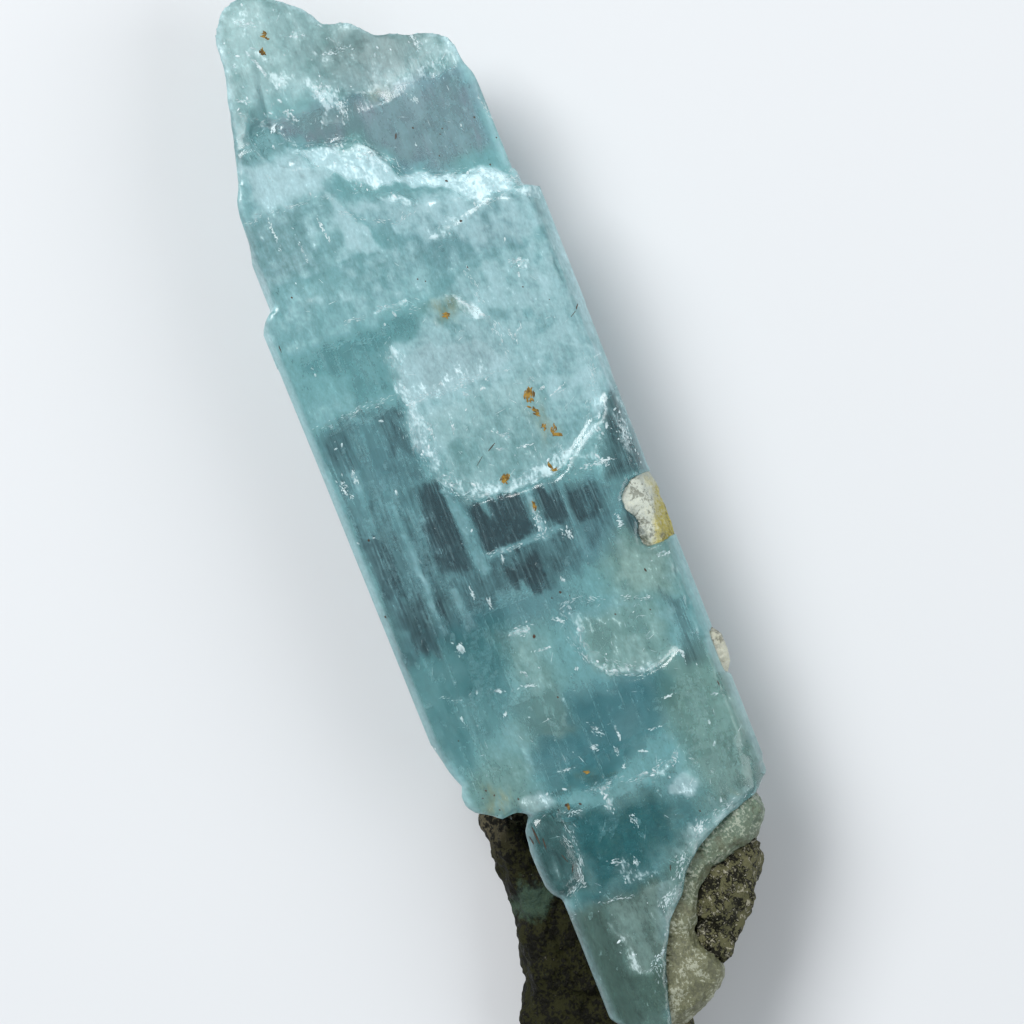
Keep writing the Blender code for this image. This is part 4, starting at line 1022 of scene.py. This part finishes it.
# %% [markdown]
# ## Healed cracks
#
# A healed crack is a crinkled sheet with holes. Each starts as a grid, is crinkled, loses the
# faces of its rim and its holes, and gets a little thickness, so that it is a closed body.

# %% Veils across the prism
VEILS = (                   # middle (a, b, z), length along and across, steepness, seed
    ((25, 6.2, 8.2), 5, 7, 74, 1),
    ((15.3, 5.2, 8.4), 4.4, 9.6, 70, 2),
    ((9.9, 6.9, 8.4), 4.2, 6.4, 76, 3),
    ((-5.6, 2.4, 8.4), 4, 8, 72, 4),
    ((-20.8, 0.4, 8.2), 3.4, 9, 68, 5),
    ((31.6, 5.6, 8.2), 3, 3, 55, 6),
    ((11.8, -3.6, 8.6), 7, 11, 12, 7),
    ((-19.2, -7.6, 8.6), 8, 4.4, 8, 8),
    ((-10, 4, 7.6), 6, 7, 15, 9),
    ((20, -4, 8), 6, 9, -14, 10),
    ((27.5, 5, 8.4), 4, 4.6, 18, 11),
    ((1, 7.4, 7), 9, 4, 6, 12),
)


COLUMNS = 44                # squares of a veil's grid along and across
ROWS = 56
VEIL_WALL = 0.03


def veil(middle, along, across, steepness, seed):
    """One crinkled sheet, turned up by `steepness` degrees from the front face."""
    sheet = template(f"veil_{seed:.0f}", bpy.ops.mesh.primitive_grid_add,
                     x_subdivisions=COLUMNS, y_subdivisions=ROWS, size=1.0)
    turned = Euler((0.0, math.radians(steepness), 0.0)).to_matrix()
    for vertex in sheet.data.vertices:
        a, b = vertex.co.x * along, vertex.co.y * across
        crinkle = 0.35 * noise.noise(Vector((a / 1.6, b / 1.6, seed)))
        crinkle += 0.12 * noise.noise(Vector((a / 0.5, b / 0.5, seed)))
        vertex.co = at(*middle) + turned @ Vector((a, b, crinkle)) * MM

    def lost(face):
        """True past the ragged rim and in the holes, which slant by a square in every row."""
        row, column = divmod(face.index, COLUMNS - 1)
        a = column / (COLUMNS - 2) * 2 - 1
        b = row / (ROWS - 2) * 2 - 1
        ragged = noise.noise(Vector((2.5 * a, 2.5 * b, seed + 0.5)))
        holes = noise.noise(Vector((6.0 * a, 6.0 * b, seed + 3.5)))
        return math.hypot(a, b) + 0.45 * ragged > 0.85 or holes > 0.16

    select_faces(sheet, lost)
    bpy.ops.mesh.delete(type="FACE")
    bpy.ops.object.mode_set(mode="OBJECT")
    wall = sheet.modifiers.new("thickness", "SOLIDIFY")
    wall.thickness = VEIL_WALL * MM
    bpy.ops.object.modifier_apply(modifier=wall.name)
    return sheet


def joined(pieces, name):
    bpy.ops.object.select_all(action="DESELECT")
    for piece in pieces:
        piece.select_set(True)
    bpy.context.view_layer.objects.active = pieces[0]
    bpy.ops.object.join()
    pieces[0].name = name
    print(name, "has", len(pieces[0].data.polygons), "faces")
    return pieces[0]


veils = joined([veil(*form) for form in VEILS], "healed_veils")


# %% [markdown]
# ## Flaws, frost, stains and dust
#
# All the small things are too small to need more than specks of two colours. The flaws inside
# and the splinters on the skin have clear holes in their white, as thin crazed flakes do. Iron
# stains are ochre, and dust and lint are dark brown.

# %% One speckled finish, used four times
def speckled_finish(name, size, detail, dark, light, sharp=None, holes=None, **constants):
    """Specks of two colours, with a clean edge between `sharp` and clear holes where given."""
    finish = Finish(name)
    speckle = finish.noise(finish.millimetres(), size, detail)
    share = finish.rise(speckle, *sharp) if sharp else speckle
    values = {"Base Color": finish.blend(share, tint(*dark), tint(*light)), **constants}
    if holes:
        values["Alpha"] = finish.rise(speckle, *holes, 0.8)
    return finish.surface(finish.node("BsdfPrincipled", values=values))


flaws = speckled_finish("inner_flaws", (0.4, 0.3, 0.3), 3.0, (188, 220, 226), (244, 250, 250),
                        holes=(0.35, 0.6), Roughness=0.3, IOR=1.2)
frosting = speckled_finish("frost_splinters", (0.5, 0.5, 0.5), 2.0, (170, 206, 212),
                           (240, 248, 248), holes=(0.15, 0.65), Roughness=0.25, IOR=BERYL_IOR)
iron = speckled_finish("iron_stains", (0.3, 0.3, 0.3), 2.0, (84, 62, 10), (152, 118, 32),
                       sharp=(0.35, 0.65), Roughness=0.6)
specks = speckled_finish("dust", (0.2, 0.2, 0.2), 2.0, (26, 22, 18), (84, 56, 34),
                         Roughness=0.8)
for piece, look in ((tubes, flaws), (flakes, flaws), (veils, flaws), (splinters, frosting),
                    (marks, frosting), (stains, iron), (dust, specks)):
    piece.data.materials.append(look)
    print(piece.name, "is finished as", look.name)

# %% [markdown]
# ## Rock, seam and grains
#
# The frame's pieces stand a hair apart. In the real specimen they grew against each other, so
# wherever the rock, the seam or a grain comes close to its neighbour, its skin is drawn out
# until it just enters it.

# %% Closing the hairline gaps
REACH = 0.75                # gaps up to this wide are closed
BITE = 0.08                 # how far a closed skin enters its neighbour


def draw_to(piece, neighbour):
    """Draws the skin of a piece across the gap to its neighbour."""
    tree = skin_tree(neighbour)
    for vertex in piece.data.vertices:
        nearest, normal, _, gap = tree.find_nearest(vertex.co, REACH * MM)
        if nearest is not None:
            vertex.co = nearest - normal * BITE * MM
    piece.data.update()


draw_to(seam, crystal)
draw_to(rock, crystal)
draw_to(rock, seam)
draw_to(grain, crystal)
draw_to(chip, crystal)

# %% Lumps and grains in their skins
ROCK_UNDERSIDE = 0.25       # below this height the lumps only go inwards, to lie flat


def roughen(piece, coarse, fine, height):
    """Pushes a skin in and out by lumps of two sizes, the coarse ones `height` mm high."""
    places = places_of(piece.data)
    lumps = bumps(places, (coarse,) * 3, 3.0) + 0.6 * bumps(places, (fine,) * 3, 4.0)
    push = height * (lumps - 0.2)
    push = np.where(places[:, 2] < ROCK_UNDERSIDE, np.minimum(push, 0.0), push)
    put_back(piece.data, places + normals_of(piece.data) * push[:, None])
    print(piece.name, "has lumps up to", push.max().round(2), "mm high")


roughen(rock, 1.4, 0.5, 0.28)
roughen(seam, 1.1, 0.45, 0.16)
roughen(grain, 0.8, 0.3, 0.13)
roughen(chip, 0.7, 0.3, 0.06)

# %% [markdown]
# ## The rock's and the feldspars' finishes
#
# The host rock is black and brown mica in a grey-brown ground, with painted shade that makes its
# left part darker, and a greenish patch there. The seam is grey-green feldspar, creamier at its
# lower end, and the grains are white, one of them glassy on its left and stained yellow-green
# below.

# %% Mica rock
GREEN_PATCH = (-26.3, 6.6, 0.0)     # its middle, with b drawn in by a fifth


def rock_finish():
    finish = Finish("mica_rock")
    place = finish.millimetres()
    speck = finish.noise(place, (0.3, 0.3, 0.3), 3.0, 0.7)
    blotch = finish.noise(place, (1.3, 0.9, 1.0), 4.0, 0.65)
    ground = finish.noise(place, (3.0, 3.0, 3.0), 3.0)
    left = finish.rise(finish.part(place, "Y"), 2.0, 5.0)
    top = finish.rise(finish.part(place, "X") + (ground - 0.5) * 6.0, -22.5, -19.5)
    colour = finish.blend(ground, tint(72, 72, 46), tint(112, 110, 82))
    # Painted shade: past b of 2 to 5 mm the rock turns dark olive, lighter brown-grey towards its
    # upper end, and keeps fewer pale specks.
    colour = finish.blend(left * 0.95, colour, tint(34, 35, 14))
    colour = finish.blend(top * left, colour, tint(92, 86, 68))
    black = finish.rise(blotch + (speck - 0.5) * 1.2, 0.44, 0.54)
    colour = finish.blend(black * 0.95, colour, tint(9, 9, 4))
    pale = finish.rise(speck - blotch * 0.35 - left * 0.12, 0.38, 0.5)
    colour = finish.blend(pale * (0.75 - left * 0.4), colour, tint(176, 172, 150))
    flat = finish.node("VectorMath", {"operation": "MULTIPLY"}, {0: place, 1: (1.0, 0.8, 0.0)})
    gap = finish.node("VectorMath", {"operation": "DISTANCE"}, {0: flat, 1: GREEN_PATCH},
                      output="Value")
    green = finish.rise(gap + (blotch - 0.5) * 3.5, 1.6, 0.6, 0.5)
    colour = finish.blend(green, colour, tint(72, 98, 84))
    bump = {"Height": speck + blotch * 0.7, "Strength": 0.8, "Distance": 0.3 * MM}
    shader = finish.node("BsdfPrincipled", values={
        "Base Color": colour, "Roughness": 0.75 - black * 0.25, "Specular IOR Level": 0.12,
        "Normal": finish.node("Bump", values=bump)})
    return finish.surface(shader)


rock.data.materials.append(rock_finish())
print("rock finish:", len(rock.data.materials[0].node_tree.nodes), "nodes")


# %% Feldspar seam and grains
def feldspar_finish(name, cream, glassy, translucency, stain=None):
    """Mottled feldspar with white crumbs and dark flecks. A stained grain is half glassy."""
    finish = Finish(name)
    place = finish.millimetres()
    cloud = finish.noise(place, (1.6, 1.2, 1.3), 4.0, 0.6)
    fine = finish.noise(place, (0.24, 0.24, 0.24), 3.0, 0.7)
    along, across = finish.part(place, "X"), finish.part(place, "Y")
    colour = finish.blend(finish.rise(along + (cloud - 0.5) * 12.0, -33.0, -25.0),
                          cream, glassy)
    if stain:
        stained = finish.rise(along * -0.5 - across + (cloud - 0.5) * 5.0, 11.0, 12.6)
        colour = finish.blend(stained * 0.9, colour, stain)
        glass = finish.rise(across + (cloud - 0.5) * 4.0, -9.3, -8.5)
        glass = glass * finish.rise(along + (cloud - 0.5) * 3.0, -2.8, -3.6)
        colour = finish.blend(glass * 0.75, colour, tint(84, 98, 96))
    flecks = finish.rise(fine + (cloud - 0.5) * 1.2, 0.42, 0.3)
    colour = finish.blend(flecks * 0.6, colour, tint(74, 76, 58))
    crumbs = finish.rise(fine + (cloud - 0.5) * 0.8, 0.52, 0.62)
    colour = finish.blend(crumbs * 0.4, colour, tint(206, 210, 192))
    bump = {"Height": fine + cloud, "Strength": 0.7, "Distance": 0.2 * MM}
    shader = finish.node("BsdfPrincipled", values={
        "Base Color": colour, "Roughness": 0.3 + fine * 0.3,
        "Subsurface Weight": translucency, "Subsurface Scale": 0.8 * MM,
        "Subsurface Radius": (1.0, 0.9, 0.7),
        "Normal": finish.node("Bump", values=bump)})
    return finish.surface(shader)


seam.data.materials.append(feldspar_finish(
    "seam_feldspar", tint(106, 108, 80), tint(96, 116, 98), 0.4))
grain.data.materials.append(feldspar_finish(
    "grain_feldspar", tint(196, 200, 184), tint(190, 196, 184), 0.3, tint(164, 152, 50)))
chip.data.materials.append(feldspar_finish(
    "chip_feldspar", tint(206, 204, 184), tint(196, 196, 178), 0.4))
print("feldspar finishes:", [piece.data.materials[0].name for piece in (seam, grain, chip)])

# %% [markdown]
# ## Floor, light and camera
#
# A plain pale floor just under the specimen, a large soft light from the upper left, a weaker
# one from the right and an even surround. The camera looks straight down on the front face,
# turned so that the prism leans as it does when it is shown standing.

# %% The floor
FLOOR_GAP = 0.03            # how far the floor lies under the specimen

bpy.ops.object.select_all(action="DESELECT")
bpy.ops.mesh.primitive_plane_add(size=3.0, location=(0.0, 0.0, -FLOOR_GAP * MM))
floor = bpy.context.object
floor.name = "pale_floor"
paint = Finish("pale_floor")
matt = {"Base Color": tint(214, 216, 218), "Roughness": 0.9}
floor.data.materials.append(paint.surface(paint.node("BsdfPrincipled", values=matt)))

# %% The camera
LEAN = math.radians(21.8)   # the prism's lean from the picture's upright
AIM = at(-0.25, -0.63, FRONT)
VIEW_WIDTH = 71.68          # what the picture spans at the front face
DISTANCE = 420.0            # from the camera to the front face

camera_data = bpy.data.cameras.new("camera")
camera = bpy.data.objects.new("camera", camera_data)
bpy.context.scene.collection.objects.link(camera)
camera.location = AIM + Vector((0.0, 0.0, DISTANCE * MM))
camera.rotation_euler = (0.0, 0.0, -math.pi / 2 - LEAN)
camera_data.angle = 2.0 * math.atan(VIEW_WIDTH / 2 / DISTANCE)
camera_data.clip_start = 0.01
bpy.context.scene.camera = camera
print("camera:", round(math.degrees(camera_data.angle), 2), "degrees wide")

# %% The lights
RIGHT = Vector((-math.sin(LEAN), -math.cos(LEAN), 0.0))
UP = Vector((math.cos(LEAN), -math.sin(LEAN), 0.0))


def soft_light(name, right, up, height, size, power, colour=(1.0, 1.0, 1.0)):
    """A square area light, placed as the picture shows it and aimed at the specimen."""
    place = RIGHT * right + UP * up + Vector((0.0, 0.0, height))
    data = bpy.data.lights.new(name, "AREA")
    data.size = size
    data.energy = power
    data.color = colour
    light = bpy.data.objects.new(name, data)
    bpy.context.scene.collection.objects.link(light)
    light.location = place
    light.rotation_euler = (-place).to_track_quat("-Z", "Y").to_euler()


soft_light("key", -0.32, 0.3, 0.5, 0.35, 4.5)
soft_light("fill", 0.5, -0.1, 0.45, 0.5, 2.0, (0.95, 0.98, 1.0))
world = bpy.data.worlds.new("surround")
world.use_nodes = True
surround = world.node_tree.nodes["Background"].inputs
surround["Color"].default_value = (0.9, 0.95, 1.0, 1.0)
surround["Strength"].default_value = 0.35
bpy.context.scene.world = world
bpy.context.scene.view_settings.view_transform = "Standard"

# %% [markdown]
# ## Putting the pieces on the frame
#
# Each piece takes the place of the solid that it was made from. Nothing moves, so they all ride
# on the one body.

# %% Handing over
BERYL_PIECES = (crystal, tubes, flakes, veils, splinters, marks, stains, dust)
for piece, node, slot in (
        *((piece, "aquamarine_crystal", "beryl") for piece in BERYL_PIECES),
        (rock, "host_rock", "mica_rock"),
        (seam, "feldspar_seam", "seam_feldspar"),
        (grain, "side_feldspar_grain", "grain_feldspar"),
        (chip, "edge_feldspar_chip", "chip_feldspar")):
    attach(piece, "root")
    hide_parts(node)
